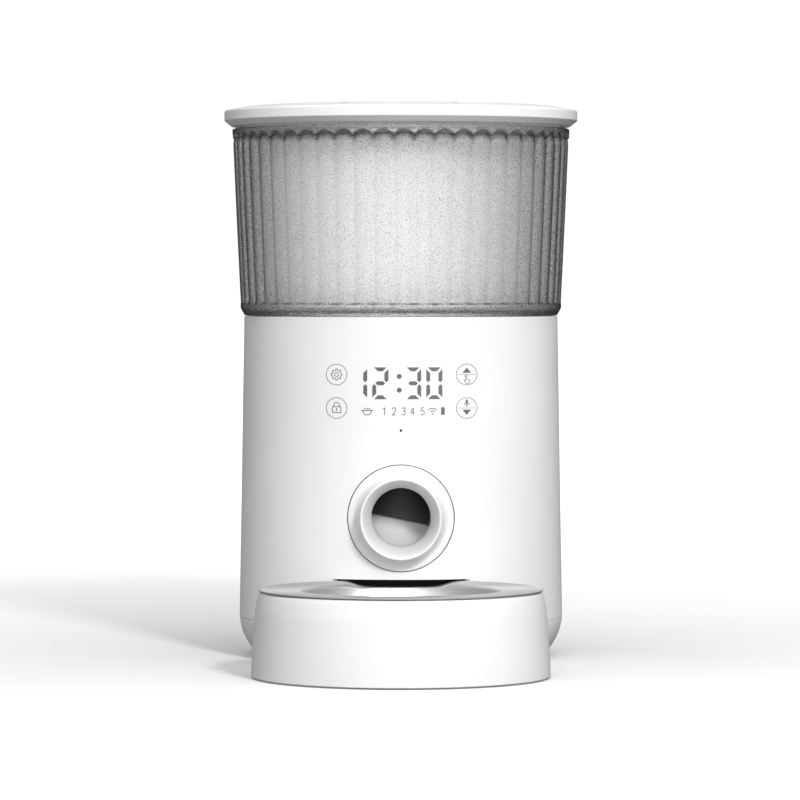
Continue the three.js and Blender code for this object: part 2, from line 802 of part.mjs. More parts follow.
function driveAssembly() {
  const drive = new THREE.Group();
  const output = piece("output_gear", gear(OUTPUT_TEETH, SHAFT_RADIUS + GAP), nylon);
  const idler = piece("idler_gear", gear(IDLER_TEETH, 2.3), nylon);
  const pinion = piece("motor_pinion", motorPinion(), brass);
  output.position.set(0, 0, GEAR_BOTTOM_Z);
  idler.position.set(0, IDLER_Y, GEAR_BOTTOM_Z);
  pinion.position.set(0, MOTOR_Y, GEAR_BOTTOM_Z);
  output.rotation.z = quarter;
  idler.rotation.z = -quarter + halfTooth(IDLER_TEETH);
  pinion.rotation.z = -quarter;
  drive.add(
    output,
    idler,
    pinion,
    piece("idler_pin", idlerPin(), steel, [0, IDLER_Y, 0]),
    piece("drive_motor", driveMotor(), steel, [0, MOTOR_Y, 0]),
    piece("gearbox_housing", gearboxHousing(), darkGrey),
    piece("gearbox_cover", gearboxCover(), darkGrey),
  );
  return drive;
}

function electronicsAssembly() {
  const electronics = new THREE.Group();
  const keys = [
    [-KEY_X, KEY_HIGH_Z],
    [-KEY_X, KEY_LOW_Z],
    [KEY_X, KEY_HIGH_Z],
    [KEY_X, KEY_LOW_Z],
  ];
  keys.forEach(([x, z], i) =>
    electronics.add(piece(`touch_pad_${i + 1}`, touchPad(), brass, [x, DISPLAY_Y, z])),
  );
  electronics.add(
    piece("display_board", displayBoard(), circuitGreen, [0, DISPLAY_Y, 0]),
    piece("display_block", displayBlock(), white, [0, DISPLAY_Y, 0]),
    piece("microphone", microphone(), black, [0, DISPLAY_Y, MIC_Z]),
    piece("main_board", mainBoard(), circuitGreen, [57, 0, 0]),
    piece("wifi_module", wifiModule(), steel, [57, 8, 84]),
    piece("board_bracket", boardBracket(), lightGrey, [59, 0, 0]),
    piece("speaker", speaker(), black, [0, SPEAKER_Y, 0]),
    piece("power_jack", powerJack(), black),
  );
  return electronics;
}

function batteryAssembly() {
  const batteries = new THREE.Group();
  [-CELL_PITCH, 0, CELL_PITCH].forEach((x, i) =>
    batteries.add(piece(`battery_${i + 1}`, batteryCell(), cellWrap, [x, -24, CELL_Z])),
  );
  batteries.add(
    piece("battery_contacts", batteryContacts(), steel, [0, BATTERY_FRONT_Y + GAP, CELL_Z]),
    piece("battery_box", batteryBox(), lightGrey),
    piece("battery_door", batteryDoor(), white),
  );
  return batteries;
}

function shellAssembly() {
  const shells = new THREE.Group();
  shells.add(
    piece("outer_shell", outerShell(), white),
    piece("base_shell", baseShell(), white),
    piece("bowl_dock", bowlDock(), black),
  );
  FOOT_PLACES.forEach(([x, y], i) =>
    shells.add(piece(`foot_${i + 1}`, foot(), rubber, [x, y, 0])),
  );
  POST_ANGLES.forEach((angle, i) => {
    const turn = THREE.MathUtils.degToRad(angle);
    const place = [POST_RADIUS * Math.cos(turn), POST_RADIUS * Math.sin(turn), 0];
    shells.add(piece(`base_screw_${i + 1}`, baseScrew(), steel, place));
  });
  return shells;
}

function bowlAssembly() {
  const stand = new THREE.Group();
  stand.position.y = -BOWL_REACH;
  stand.add(
    piece("bowl_tray", bowlTray(), white),
    piece("steel_bowl", steelBowl(), steel),
  );
  [30, 150, 270].forEach((angle, i) => {
    const turn = THREE.MathUtils.degToRad(angle);
    const place = [66 * Math.cos(turn), 66 * Math.sin(turn), 0];
    stand.add(piece(`tray_foot_${i + 1}`, trayFoot(), rubber, place));
  });
  return stand;
}

const feeder = new THREE.Group();
feeder.position.y = BODY_Y;
feeder.add(
  shellAssembly(),
  binAssembly(),
  lidAssembly(),
  meteringAssembly(),
  driveAssembly(),
  electronicsAssembly(),
  batteryAssembly(),
  bowlAssembly(),
);

const part = new THREE.Group();
part.add(feeder);

export default part;
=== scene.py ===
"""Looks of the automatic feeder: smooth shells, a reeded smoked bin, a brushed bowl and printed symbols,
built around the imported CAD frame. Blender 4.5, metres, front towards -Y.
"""

import math

import bmesh
import bpy
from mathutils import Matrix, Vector


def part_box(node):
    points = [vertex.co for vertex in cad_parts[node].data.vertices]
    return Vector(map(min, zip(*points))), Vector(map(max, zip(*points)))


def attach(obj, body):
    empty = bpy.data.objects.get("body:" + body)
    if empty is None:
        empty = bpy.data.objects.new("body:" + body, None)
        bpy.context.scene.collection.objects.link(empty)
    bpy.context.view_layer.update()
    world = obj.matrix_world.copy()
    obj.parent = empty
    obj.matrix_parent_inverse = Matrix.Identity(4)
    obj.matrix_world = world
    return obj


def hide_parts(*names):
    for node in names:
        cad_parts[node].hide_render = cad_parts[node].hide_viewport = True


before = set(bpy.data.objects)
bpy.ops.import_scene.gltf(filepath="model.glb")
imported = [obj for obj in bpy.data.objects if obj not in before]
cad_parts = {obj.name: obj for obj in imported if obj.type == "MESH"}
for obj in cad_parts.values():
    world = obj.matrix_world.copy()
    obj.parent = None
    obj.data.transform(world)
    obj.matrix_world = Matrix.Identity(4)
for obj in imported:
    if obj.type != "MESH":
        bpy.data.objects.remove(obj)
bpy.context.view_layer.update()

MM = 0.001
FINE = 256  # facets of a large circle
SMALL = 96  # facets of a small one


def centre_of(node):
    low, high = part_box(node)
    return (low + high) / 2


AXIS_Y = centre_of("lid_cover").y  # the body's vertical axis
BOWL_Y = centre_of("bowl_tray").y  # the bowl's vertical axis
OUTLET_Z = centre_of("outlet_bezel").z

# Body outline, in millimetres
BODY_FOOT_RADIUS = 90.0  # just above the seam
BODY_TOP_RADIUS = 87.3
SEAM = 22.0  # height of the seam between the two shells
SEAM_HALF = 0.1  # half the seam's width
SHELL_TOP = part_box("outer_shell")[1].z / MM
WALL = 2.4
RECESS_TOP = 47.4  # the recess that the bowl stand goes into, a cone about the bowl's axis
RECESS_TOP_RADIUS = 78.1
RECESS_FOOT_RADIUS = 80.85
BASE_CURVE_RADIUS = 31.3  # the round of the body's foot
BASE_CURVE_Z = 24.0
FOOT_HEIGHT = 0.8  # how far the rubber feet hold everything off the floor

# Outlet, in millimetres
BEZEL_RADIUS = 28.6
BEZEL_GAP = 0.5
CHUTE_RADIUS = 16.0
CHUTE_WALL = 2.0


# ---------- Mesh helpers ----------


def new_object(name, vertices, faces):
    mesh = bpy.data.meshes.new(name)
    mesh.from_pydata(vertices, [], faces)
    mesh.validate()
    piece = bpy.data.objects.new(name, mesh)
    bpy.context.scene.collection.objects.link(piece)
    return piece


def face_outwards(piece):
    bm = bmesh.new()
    bm.from_mesh(piece.data)
    bmesh.ops.remove_doubles(bm, verts=bm.verts, dist=1e-7)
    bmesh.ops.recalc_face_normals(bm, faces=bm.faces)
    bm.to_mesh(piece.data)
    bm.free()


def smooth(piece, angle=32):
    piece.data.shade_smooth()
    piece.data.set_sharp_from_angle(angle=math.radians(angle))


def dress(piece, material, body, *nodes, slot=None):
    """Gives a finished piece its material, its body and the nodes it stands for. Its slot is not used."""
    piece.data.materials.clear()
    piece.data.materials.append(material)
    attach(piece, body)
    if nodes:
        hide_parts(*nodes)


def rounded(corners, steps=5, closed=True):
    """An outline through (x, y, setback) corners, each rounded from its setback before and after it.

    Where there is room, a point just past each end of the rounding keeps the flat beside it flat.
    """
    outline = []
    last = len(corners) - 1
    for i, (x, y, setback) in enumerate(corners):
        here = Vector((x, y))
        if setback <= 0 or (not closed and i in (0, last)):
            outline.append(here)
            continue
        before = Vector(corners[i - 1][:2])
        after = Vector(corners[(i + 1) % len(corners)][:2])
        start = here + (before - here).normalized() * setback
        end = here + (after - here).normalized() * setback
        if (before - start).length > 3 * setback:
            outline.append(start + (before - here).normalized() * setback * 0.5)
        for step in range(steps + 1):
            t = step / steps
            outline.append(start * (1 - t) ** 2 + here * 2 * t * (1 - t) + end * t * t)
        if (after - end).length > 3 * setback:
            outline.append(end + (after - here).normalized() * setback * 0.5)
    return outline


def arc(centre_x, centre_y, radius, start, end, steps):
    """Corners with no setback along an arc, angles in degrees."""
    points = []
    for step in range(steps + 1):
        angle = math.radians(start + (end - start) * step / steps)
        points.append((centre_x + radius * math.cos(angle), centre_y + radius * math.sin(angle), 0))
    return points


def wrapped(name, vertices, columns, closed=True):
    """A surface of equal columns of points that goes once round, each column joined to the next."""
    rows = len(vertices) // columns
    spans = rows if closed else rows - 1
    faces = []
    for column in range(columns):
        here, there = column * rows, (column + 1) % columns * rows
        for row in range(spans):
            above = (row + 1) % rows
            faces.append((here + row, there + row, there + above, here + above))
    piece = new_object(name, vertices, faces)
    face_outwards(piece)
    return piece


def turned(name, outline, axis_y=AXIS_Y, facets=FINE, closed=True, shape=None):
    """Turns an outline of (radius, height) millimetres about a vertical axis.

    shape(radius, height, angle) may return a changed radius and height. An open outline starts and
    ends on the axis.
    """
    vertices = []
    for column in range(facets):
        angle = 2 * math.pi * column / facets
        for radius, height in outline:
            if shape:
                radius, height = shape(radius, height, angle)
            x = radius * math.sin(angle) * MM
            y = axis_y - radius * math.cos(angle) * MM
            vertices.append((x, y, height * MM))
    return wrapped(name, vertices, facets, closed)


def carve(piece, *cutters):
    """Cuts the cutters out of a piece and throws them away."""
    for cutter in cutters:
        modifier = piece.modifiers.new("cut", "BOOLEAN")
        modifier.object = cutter
        modifier.solver = "EXACT"
    depsgraph = bpy.context.evaluated_depsgraph_get()
    carved = bpy.data.meshes.new_from_object(piece.evaluated_get(depsgraph))
    piece.modifiers.clear()
    piece.data = carved
    for cutter in cutters:
        bpy.data.objects.remove(cutter)


def rod(name, radius, start, end, centre, direction, facets=SMALL):
    """A plain cutter: a rod along a unit direction, from start to end millimetres past its centre."""
    piece = turned(name, [Vector((0, start)), Vector((radius, start)), Vector((radius, end)),
                          Vector((0, end))], axis_y=0, facets=facets, closed=False)
    turn = Vector((0, 0, 1)).rotation_difference(Vector(direction))
    piece.data.transform(turn.to_matrix().to_4x4())
    for vertex in piece.data.vertices:
        vertex.co += Vector(centre)
    return piece


def block(low, high):
    """A plain cutter: a block between two opposite corners."""
    bm = bmesh.new()
    bmesh.ops.create_cube(bm, size=1)
    mesh = bpy.data.meshes.new("cutter")
    bm.to_mesh(mesh)
    bm.free()
    size = Vector(high) - Vector(low)
    middle = (Vector(high) + Vector(low)) / 2
    for vertex in mesh.vertices:
        vertex.co = Vector([vertex.co[i] * size[i] + middle[i] for i in range(3)])
    cutter = bpy.data.objects.new("cutter", mesh)
    bpy.context.scene.collection.objects.link(cutter)
    return cutter


def body_radius(height):
    """The upper shell's radius at a height."""
    share = (height - SEAM) / (SHELL_TOP - SEAM)
    return BODY_FOOT_RADIUS + (BODY_TOP_RADIUS - BODY_FOOT_RADIUS) * share


# ---------- Materials ----------


class Shader:
    """A new node material around one Principled shader."""

    def __init__(self, name, **values):
        self.material = bpy.data.materials.new(name)
        self.material.use_nodes = True
        self.nodes = self.material.node_tree.nodes
        self.links = self.material.node_tree.links
        self.surface = self.nodes["Principled BSDF"]
        for key, value in values.items():
            self.surface.inputs[key.replace("_", " ")].default_value = value

    def add(self, kind, **values):
        node = self.nodes.new(kind)
        for key, value in values.items():
            node.inputs[key.replace("_", " ")].default_value = value
        return node

    def noise(self, scale, detail=3.0, roughness=0.55, vector=None):
        node = self.add("ShaderNodeTexNoise", Scale=scale, Detail=detail, Roughness=roughness)
        source = vector or self.add("ShaderNodeTexCoord").outputs["Object"]
        self.links.new(source, node.inputs["Vector"])
        return node.outputs["Fac"]

    def ramp(self, source, low, high, start=0.0, end=1.0):
        """Maps a value between start and end onto low to high."""
        node = self.add("ShaderNodeMapRange")
        node.inputs["From Min"].default_value = start
        node.inputs["From Max"].default_value = end
        node.inputs["To Min"].default_value = low
        node.inputs["To Max"].default_value = high
        self.links.new(source, node.inputs["Value"])
        return node.outputs["Result"]

    def curve(self, source, stops):
        """Maps a value along straight lines between (value, result) stops."""
        node = self.add("ShaderNodeValToRGB")
        stretch = node.color_ramp.elements
        while len(stretch) < len(stops):
            stretch.new(0.5)
        for element, (place, result) in zip(stretch, stops):
            element.position = place
            element.color = (result, result, result, 1)
        self.links.new(source, node.inputs["Fac"])
        return node.outputs["Color"]

    def combine(self, operation, first, second):
        node = self.add("ShaderNodeMath")
        node.operation = operation
        self.links.new(first, node.inputs[0])
        self.links.new(second, node.inputs[1])
        return node.outputs["Value"]

    def tint(self, source, dark, light, start=0.3, end=0.7):
        """Colours the surface between two colours by a value."""
        node = self.add("ShaderNodeValToRGB")
        node.color_ramp.elements[0].color = (*dark, 1)
        node.color_ramp.elements[1].color = (*light, 1)
        node.color_ramp.elements[0].position = start
        node.color_ramp.elements[1].position = end
        self.links.new(source, node.inputs["Fac"])
        self.links.new(node.outputs["Color"], self.surface.inputs["Base Color"])

    def rough(self, source, low, high, start=0.3, end=0.7):
        self.links.new(self.ramp(source, low, high, start, end), self.surface.inputs["Roughness"])

    def bump(self, source, distance, strength=1.0):
        node = self.add("ShaderNodeBump", Strength=strength, Distance=distance)
        self.links.new(source, node.inputs["Height"])
        self.links.new(node.outputs["Normal"], self.surface.inputs["Normal"])


def moulded(name, dark, light, rough_low, rough_high, grain=2200.0, depth=0.00002):
    """A moulded plastic: slight colour drift, fine grain and an uneven gloss."""
    shader = Shader(name)
    shader.tint(shader.noise(18.0), dark, light)
    shader.rough(shader.noise(60.0), rough_low, rough_high)
    shader.bump(shader.noise(grain, 2.0), depth, 0.5)
    return shader.material


def metal(name, dark, light, rough_low, rough_high, scale=400.0):
    """A bare metal with blotches of tone and a fine uneven grain."""
    shader = Shader(name, Metallic=1.0)
    shader.tint(shader.noise(scale), dark, light)
    shader.rough(shader.noise(scale * 0.3), rough_low, rough_high)
    shader.bump(shader.noise(scale * 4), 0.00001, 0.4)
    return shader.material


def polar(shader):
    """The distance from the object's own vertical axis, in metres."""
    place = shader.add("ShaderNodeTexCoord").outputs["Object"]
    flat = shader.add("ShaderNodeVectorMath")
    flat.operation = "MULTIPLY"
    flat.inputs[1].default_value = (1, 1, 0)
    shader.links.new(place, flat.inputs[0])
    length = shader.add("ShaderNodeVectorMath")
    length.operation = "LENGTH"
    shader.links.new(flat.outputs["Vector"], length.inputs[0])
    return length.outputs["Value"]


def turned_steel():
    """Bowl steel with fine rings of turning marks about the bowl's axis."""
    shader = Shader("bowl_steel", Metallic=1.0, Anisotropic=0.75)
    radius = polar(shader)
    along = shader.add("ShaderNodeCombineXYZ")
    shader.links.new(radius, along.inputs["X"])
    rings = shader.noise(2600.0, 4.0, 0.7, along.outputs["Vector"])
    shader.tint(rings, (0.50, 0.50, 0.51), (0.64, 0.64, 0.65))
    shader.rough(rings, 0.34, 0.46)
    shader.bump(rings, 0.00002, 0.35)
    tangent = shader.add("ShaderNodeTangent")
    tangent.direction_type = "RADIAL"
    tangent.axis = "Z"
    shader.links.new(tangent.outputs["Tangent"], shader.surface.inputs["Tangent"])
    return shader.material


# Painted shadow in the chute: the upper bore is painted dark, as if shaded by the nozzle's rim, above an
# edge that tilts like a cast shadow's.
SHADOW_EDGE_TILT = 0.2  # how far the edge of the painted shadow in the bore drops for each step to the right
SHADOW_EDGE_DROP = 2.2  # how far below the outlet's centre that edge lies, in millimetres
SHADOW_EDGE_HALF = 0.8  # half its width


def chute_plastic():
    """Grey plastic with a painted shadow: dark over the upper bore, its own pale grey along the bottom,
    the edge between them tilted like a cast shadow's edge.
    """
    shader = Shader("chute_grey")
    place = shader.add("ShaderNodeTexCoord").outputs["Object"]
    tilted = shader.add("ShaderNodeVectorMath")
    tilted.operation = "DOT_PRODUCT"
    tilted.inputs[1].default_value = (SHADOW_EDGE_TILT, 0, 1)
    shader.links.new(place, tilted.inputs[0])
    start, end = OUTLET_Z - (SHADOW_EDGE_DROP + SHADOW_EDGE_HALF) * MM, OUTLET_Z - (SHADOW_EDGE_DROP - SHADOW_EDGE_HALF) * MM
    # painted shadow: 0 below the tilted edge, 1 above it
    painted_shadow = shader.ramp(tilted.outputs["Value"], 0.0, 1.0, start, end)
    grain = shader.ramp(shader.noise(900.0), -0.12, 0.12, 0.2, 0.8)
    shade = shader.combine("ADD", painted_shadow, grain)
    # the plastic's own pale grey below the edge, painted shadow above it
    shader.tint(shade, (0.56, 0.56, 0.565), (0.05, 0.05, 0.051), 0.2, 0.9)
    shader.rough(shader.noise(200.0), 0.5, 0.7)
    shader.bump(shader.noise(900.0, 2.0), 0.0001, 0.5)
    return shader.material


ARCH_PAINTED_SHADE = "arch_painted_shade"  # the bin's mesh attribute that holds the painted shade under each reed's arch


def smoked():
    """The bin's frosted smoky plastic: darker where it is seen edge on, with a fine speckle and painted
    shade under the arch at each reed's head.
    """
    shader = Shader("smoked_plastic", Transmission_Weight=0.97, IOR=1.22)
    speckle = shader.noise(1600.0, 1.0, 0.5)
    edge = shader.add("ShaderNodeLayerWeight", Blend=0.5).outputs["Facing"]
    arch_paint_node = shader.add("ShaderNodeAttribute")
    arch_paint_node.attribute_name = ARCH_PAINTED_SHADE
    shade = shader.curve(edge, ((0, 1.0), (0.1, 0.87), (0.42, 0.60), (0.68, 0.12), (0.85, 0.0)))
    shade = shader.combine("MULTIPLY", shade, shader.ramp(speckle, 0.55, 1.0, 0.34, 0.5))
    # painted shade under the arches, darkening the tone down to 0.22
    shade = shader.combine("MULTIPLY", shade, shader.ramp(arch_paint_node.outputs["Fac"], 1.0, 0.22))
    shader.tint(shade, (0.0, 0.0, 0.0), (1.0, 1.0, 1.0), 0.0, 1.0)
    shader.rough(speckle, 0.2, 0.38)
    shader.bump(shader.noise(1500.0, 1.0, 0.5), 0.0005, 0.8)
    return shader.material


WHITE = moulded("shell_white", (0.80, 0.80, 0.80), (0.83, 0.83, 0.832), 0.34, 0.42)
INNER_WHITE = moulded("inner_white", (0.74, 0.74, 0.73), (0.78, 0.78, 0.775), 0.42, 0.52)
INNER_GREY = moulded("inner_grey", (0.64, 0.645, 0.645), (0.70, 0.705, 0.705), 0.45, 0.6, 1500.0, 0.00004)
CHUTE_GREY = chute_plastic()
DARK = moulded("dark_plastic", (0.035, 0.036, 0.038), (0.05, 0.052, 0.055), 0.45, 0.6)
BLACK = moulded("black_plastic", (0.006, 0.006, 0.006), (0.012, 0.012, 0.012), 0.55, 0.75, 1200.0, 0.00008)
RUBBER = moulded("foot_rubber", (0.012, 0.012, 0.012), (0.022, 0.022, 0.023), 0.75, 0.9, 900.0, 0.0001)
SILICONE = moulded("silicone", (0.60, 0.61, 0.62), (0.68, 0.69, 0.70), 0.4, 0.5)
NYLON = moulded("nylon", (0.70, 0.66, 0.55), (0.78, 0.74, 0.63), 0.4, 0.55)
BOARD = moulded("circuit_board", (0.010, 0.12, 0.045), (0.02, 0.17, 0.065), 0.3, 0.45, 700.0, 0.00005)
CELL = moulded("cell_wrap", (0.02, 0.06, 0.14), (0.03, 0.09, 0.2), 0.25, 0.4)
PAPER = moulded("desiccant_paper", (0.70, 0.68, 0.62), (0.80, 0.78, 0.72), 0.8, 0.95, 500.0, 0.0002)
STEEL = metal("plain_steel", (0.42, 0.42, 0.42), (0.56, 0.56, 0.56), 0.28, 0.42)
BRASS = metal("brass", (0.45, 0.32, 0.12), (0.6, 0.45, 0.2), 0.3, 0.45)
INK = moulded("symbol_ink", (0.10, 0.112, 0.107), (0.135, 0.148, 0.143), 0.55, 0.65)
FAINT_INK = moulded("faint_ink", (0.46, 0.45, 0.45), (0.54, 0.53, 0.53), 0.5, 0.6)
PALE_INK = moulded("pale_ink", (0.21, 0.215, 0.215), (0.26, 0.265, 0.265), 0.55, 0.65)
BOWL_STEEL = turned_steel()
SMOKE = smoked()


# ---------- Body ----------


def recess_cutter(spare=0.0):
    """The cone about the bowl's axis that the stand goes into."""
    outline = [
        Vector((0, -5)),
        Vector((RECESS_FOOT_RADIUS + spare, -5)),
        Vector((RECESS_TOP_RADIUS + spare, RECESS_TOP + spare)),
        Vector((0, RECESS_TOP + spare)),
    ]
    return turned("recess_cutter", outline, axis_y=BOWL_Y, closed=False)


LEDGE_RADIUS = 82.3  # the ledge inside the upper shell that carries the funnel
LEDGE_TOP = 186.4
LEDGE_FOOT = 184.6
CUT_START, CUT_END = 70, 110  # reach of the cutters for the openings in the upper shell


def make_body_shell():
    inner_top = BODY_TOP_RADIUS - WALL
    outline = rounded([
        (BODY_FOOT_RADIUS - WALL, SEAM + SEAM_HALF, 0),
        (BODY_FOOT_RADIUS, SEAM + SEAM_HALF, 0.1),
        (BODY_TOP_RADIUS, SHELL_TOP, 0.5),
        (inner_top, SHELL_TOP, 0.3),
        (inner_top, LEDGE_TOP, 0),
        (LEDGE_RADIUS, LEDGE_TOP, 0.3),
        (LEDGE_RADIUS, LEDGE_FOOT, 0.3),
        (inner_top, 182, 0),
    ])
    shell = turned("body_shell", outline)

    def opening(radius, height, direction, facets):
        return rod("cutter", radius, CUT_START, CUT_END, (0, AXIS_Y, height), direction, facets)

    outlet = opening(BEZEL_RADIUS + BEZEL_GAP, OUTLET_Z, (0, -1, 0), FINE)
    mic = opening(0.7, centre_of("microphone").z, (0, -1, 0), 24)
    jack = opening(4.4, centre_of("power_jack").z, (0, 1, 0), 48)
    carve(shell, recess_cutter(), outlet, mic, jack)
    smooth(shell)
    dress(shell, WHITE, "housing", "outer_shell", slot="shell_white")


def make_base_shell():
    """The foot of the body, with its door opening, foot seats, screw seats and speaker slots."""
    centre = BODY_FOOT_RADIUS - BASE_CURVE_RADIUS
    outside = arc(centre, BASE_CURVE_Z, BASE_CURVE_RADIUS, -47.8, -4.2, 28)
    inside = arc(centre, BASE_CURVE_Z, BASE_CURVE_RADIUS - WALL, -22.4, -45.8, 12)
    lip_outside = BODY_FOOT_RADIUS - WALL - 0.4
    lip_inside = lip_outside - 1.8
    lip_top = SEAM + 3.7
    lip = [
        (BODY_FOOT_RADIUS - SEAM_HALF, SEAM - SEAM_HALF, 0.1), (lip_outside, SEAM - SEAM_HALF, 0),
        (lip_outside, lip_top, 0.3), (lip_inside, lip_top, 0.3),
    ]
    corners = [(0, outside[0][1], 0), *outside, *lip, *inside, (0, inside[-1][1], 0)]
    base = turned("base_shell_smooth", rounded(corners, closed=False), closed=False)
    door_low, door_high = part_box("battery_door")
    gap = 0.3 * MM
    below, above = -MM, 5 * MM
    door = block((door_low.x - gap, door_low.y - gap, below),
                 (door_high.x + gap, door_high.y + gap, above))
    seats = []
    for number in range(1, 5):
        for node, radius, depth in (("foot", 6.3, 1.8), ("base_screw", 3.5, 2.2)):
            place = centre_of(f"{node}_{number}")
            seats.append(rod("cutter", radius, -1, depth, (place.x, place.y, 0), (0, 0, 1), 48))
    sound = centre_of("speaker")
    half_width, half_length = 0.9 * MM, 8 * MM
    slots = []
    for step in (-8, -4, 0, 4, 8):
        middle = sound.x + step * MM
        slots.append(block((middle - half_width, sound.y - half_length, below),
                           (middle + half_width, sound.y + half_length, above)))
    carve(base, recess_cutter(), door, *seats, *slots)
    smooth(base)
    dress(base, WHITE, "housing", "base_shell", slot="shell_white")


def make_recess_liner():
    """The dark liner: the recess's cone grown outwards, kept inside the body and hollowed again."""
    room = rounded([
        (0, 3.6, 0), (78.4, 3.6, 0), (84.9, 14.5, 0), (84.9, 26, 0), (86.8, 26, 0),
        (86.8, RECESS_TOP + 2, 0), (0, RECESS_TOP + 2, 0),
    ], closed=False)
    liner = turned("recess_liner", room, closed=False)
    keep = recess_cutter(2.0)
    modifier = liner.modifiers.new("keep", "BOOLEAN")
    modifier.operation = "INTERSECT"
    modifier.object = keep
    modifier.solver = "EXACT"
    carve(liner, recess_cutter())
    bpy.data.objects.remove(keep)
    smooth(liner)
    dress(liner, BLACK, "housing", "bowl_dock", slot="black_plastic")


# ---------- Outlet ----------

FILLET_EDGE = 26.6  # where the flat of the disc turns up into the nozzle
FILLET_TOP = 22.7
FILLET_RISE = 0.6  # the fillet's share of the way from the body's surface to the lip
FILLET_STEPS = 14
LIP_ROUND = (
    (22.35, 0.84), (22.2, 0.93), (22.05, 0.965), (21.75, 0.99), (21.4, 1.0), (21.05, 0.992),
    (20.8, 0.965),
)  # the round of the lip, as radius and share of the way to its front
TAPER = ((20.2, 1.6), (18.4, 7.5), (16.8, 14), (16.3, 16.5))  # the bore: radius and depth behind the lip
SOCKET_FRONT = 83.8  # front of the socket that holds the chute, from the body's axis


def nozzle_outline():
    """The bezel's front: each radius, and its share of the way from the body's surface to the lip."""
    points = [(BEZEL_RADIUS, -0.005), (BEZEL_RADIUS - 0.15, 0.0), (FILLET_EDGE, 0.0)]
    for step in range(1, FILLET_STEPS + 1):
        angle = math.pi / 2 * step / FILLET_STEPS
        radius = FILLET_EDGE - (FILLET_EDGE - FILLET_TOP) * math.sin(angle)
        points.append((radius, FILLET_RISE * (1 - math.cos(angle)) ** 1.2))
    return [*points, *LIP_ROUND]


def make_outlet_bezel():
    """A disc flush with the body that draws up into the nozzle, one closed ring of faces."""
    low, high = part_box("outlet_bezel")
    lip, back = (AXIS_Y - low.y) / MM, (AXIS_Y - high.y) / MM
    socket = CHUTE_RADIUS + CHUTE_WALL
    vertices = []
    for column in range(FINE):
        angle = 2 * math.pi * column / FINE
        across, up = math.sin(angle), math.cos(angle)

        def body_surface(radius):
            height = OUTLET_Z / MM + radius * up
            return math.sqrt(body_radius(height) ** 2 - (radius * across) ** 2)

        ring = []
        for radius, share in nozzle_outline():
            surface = body_surface(radius)
            ring.append((radius, surface + (lip - surface) * share))
        ring += [(radius, lip - depth) for radius, depth in TAPER]
        ring += [(CHUTE_RADIUS, back), (socket, back), (socket, SOCKET_FRONT)]
        edge = body_surface(BEZEL_RADIUS)
        ring += [(24, min(84.0, edge - 1.8)), (BEZEL_RADIUS, edge - WALL), (BEZEL_RADIUS, edge - 0.2)]
        for radius, reach in ring:
            vertices.append((radius * across * MM, AXIS_Y - reach * MM, OUTLET_Z + radius * up * MM))
    bezel = wrapped("outlet_nozzle", vertices, FINE)
    smooth(bezel)
    dress(bezel, WHITE, "housing", "outlet_bezel", slot="shell_white")


def make_chute():
    """The bent tube behind the nozzle: a quarter turn from straight down to straight forward."""
    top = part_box("chute")[1]
    bend = top.z - OUTLET_Z
    drop_y = top.y - (CHUTE_RADIUS + CHUTE_WALL) * MM
    steps, facets = 40, 64
    vertices, faces = [], []
    for step in range(steps + 1):
        turn = math.pi / 2 * step / steps
        middle = Vector((0, drop_y - bend * (1 - math.cos(turn)), top.z - bend * math.sin(turn)))
        outward = Vector((0, math.cos(turn), math.sin(turn)))
        for radius in (CHUTE_RADIUS, CHUTE_RADIUS + CHUTE_WALL):
            for facet in range(facets):
                angle = 2 * math.pi * facet / facets
                side = Vector((math.cos(angle), 0, 0)) + outward * math.sin(angle)
                vertices.append(middle + side * radius * MM)
    layer = 2 * facets
    for facet in range(facets):
        beside = (facet + 1) % facets
        for step in range(steps):
            for shell in (0, facets):
                a, b = step * layer + shell + facet, step * layer + shell + beside
                faces.append((a, b, b + layer, a + layer))
        for end in (0, steps * layer):
            a, b = end + facet, end + beside
            faces.append((a, b, b + facets, a + facets))
    chute = new_object("chute_tube", vertices, faces)
    face_outwards(chute)
    smooth(chute)
    dress(chute, CHUTE_GREY, "housing", "chute", slot="inner_grey")


# ---------- Bin ----------

BIN_BOTTOM = 189.4
BIN_TOP = 293.1
BIN_FOOT = 89.3  # the wall's radius above the bevel at its foot
BIN_FOOT_Z = 193.5
BIN_RIM = 93.9  # and at its rim
BIN_RIM_Z = 293.0
BIN_BULGE = 0.12  # how much the wall bows outwards between the two
REEDS = 52
REED_TURN = math.radians(1)
REED_FOOT = 195.5
CREST_DEPTH = 0.2  # how far a reed's crest lies inside the smooth wall
VALLEY_DEPTH = 1.25  # how much deeper the valley beside it lies
DASH_DEPTH = 0.35  # depth of the short grooves around the bevel
DASH_FOOT, DASH_TOP = 190.2, 193.2
ARCH_SPRING = 286.5  # height at which the arch over a reed starts
ARCH_RISE = 4.2
ARCH_DIP = 1.3  # how far a reed's head lies inside the rim above it
ARCH_LEDGE = 0.9  # height of the slope between them
ARCH_FADE = 6.0  # height over which the head comes back out to the crest


def ease(low, high, value):
    """Runs smoothly from 0 at the low value to 1 at the high one."""
    share = min(1.0, max(0.0, (value - low) / (high - low)))
    return share * share * (3 - 2 * share)


def spread(low, high, steps):
    """Even steps from low to high, both included."""
    return [low + (high - low) * i / steps for i in range(steps + 1)]


def bin_radius(height):
    share = (height - BIN_FOOT_Z) / (BIN_RIM_Z - BIN_FOOT_Z)
    return BIN_FOOT + (BIN_RIM - BIN_FOOT) * (share + BIN_BULGE * share * (1 - share))


def across_reed(angle):
    """0 on the crest of a reed and 1 in the valley beside it."""
    place = ((angle - REED_TURN) / (2 * math.pi) * REEDS + 0.5) % 1.0 - 0.5
    return abs(2 * place)


def below_arch(height, across):
    """How far a height lies below the arch at the head of a reed."""
    return ARCH_SPRING + ARCH_RISE * math.sqrt(max(0.0, 1 - across**2)) - height


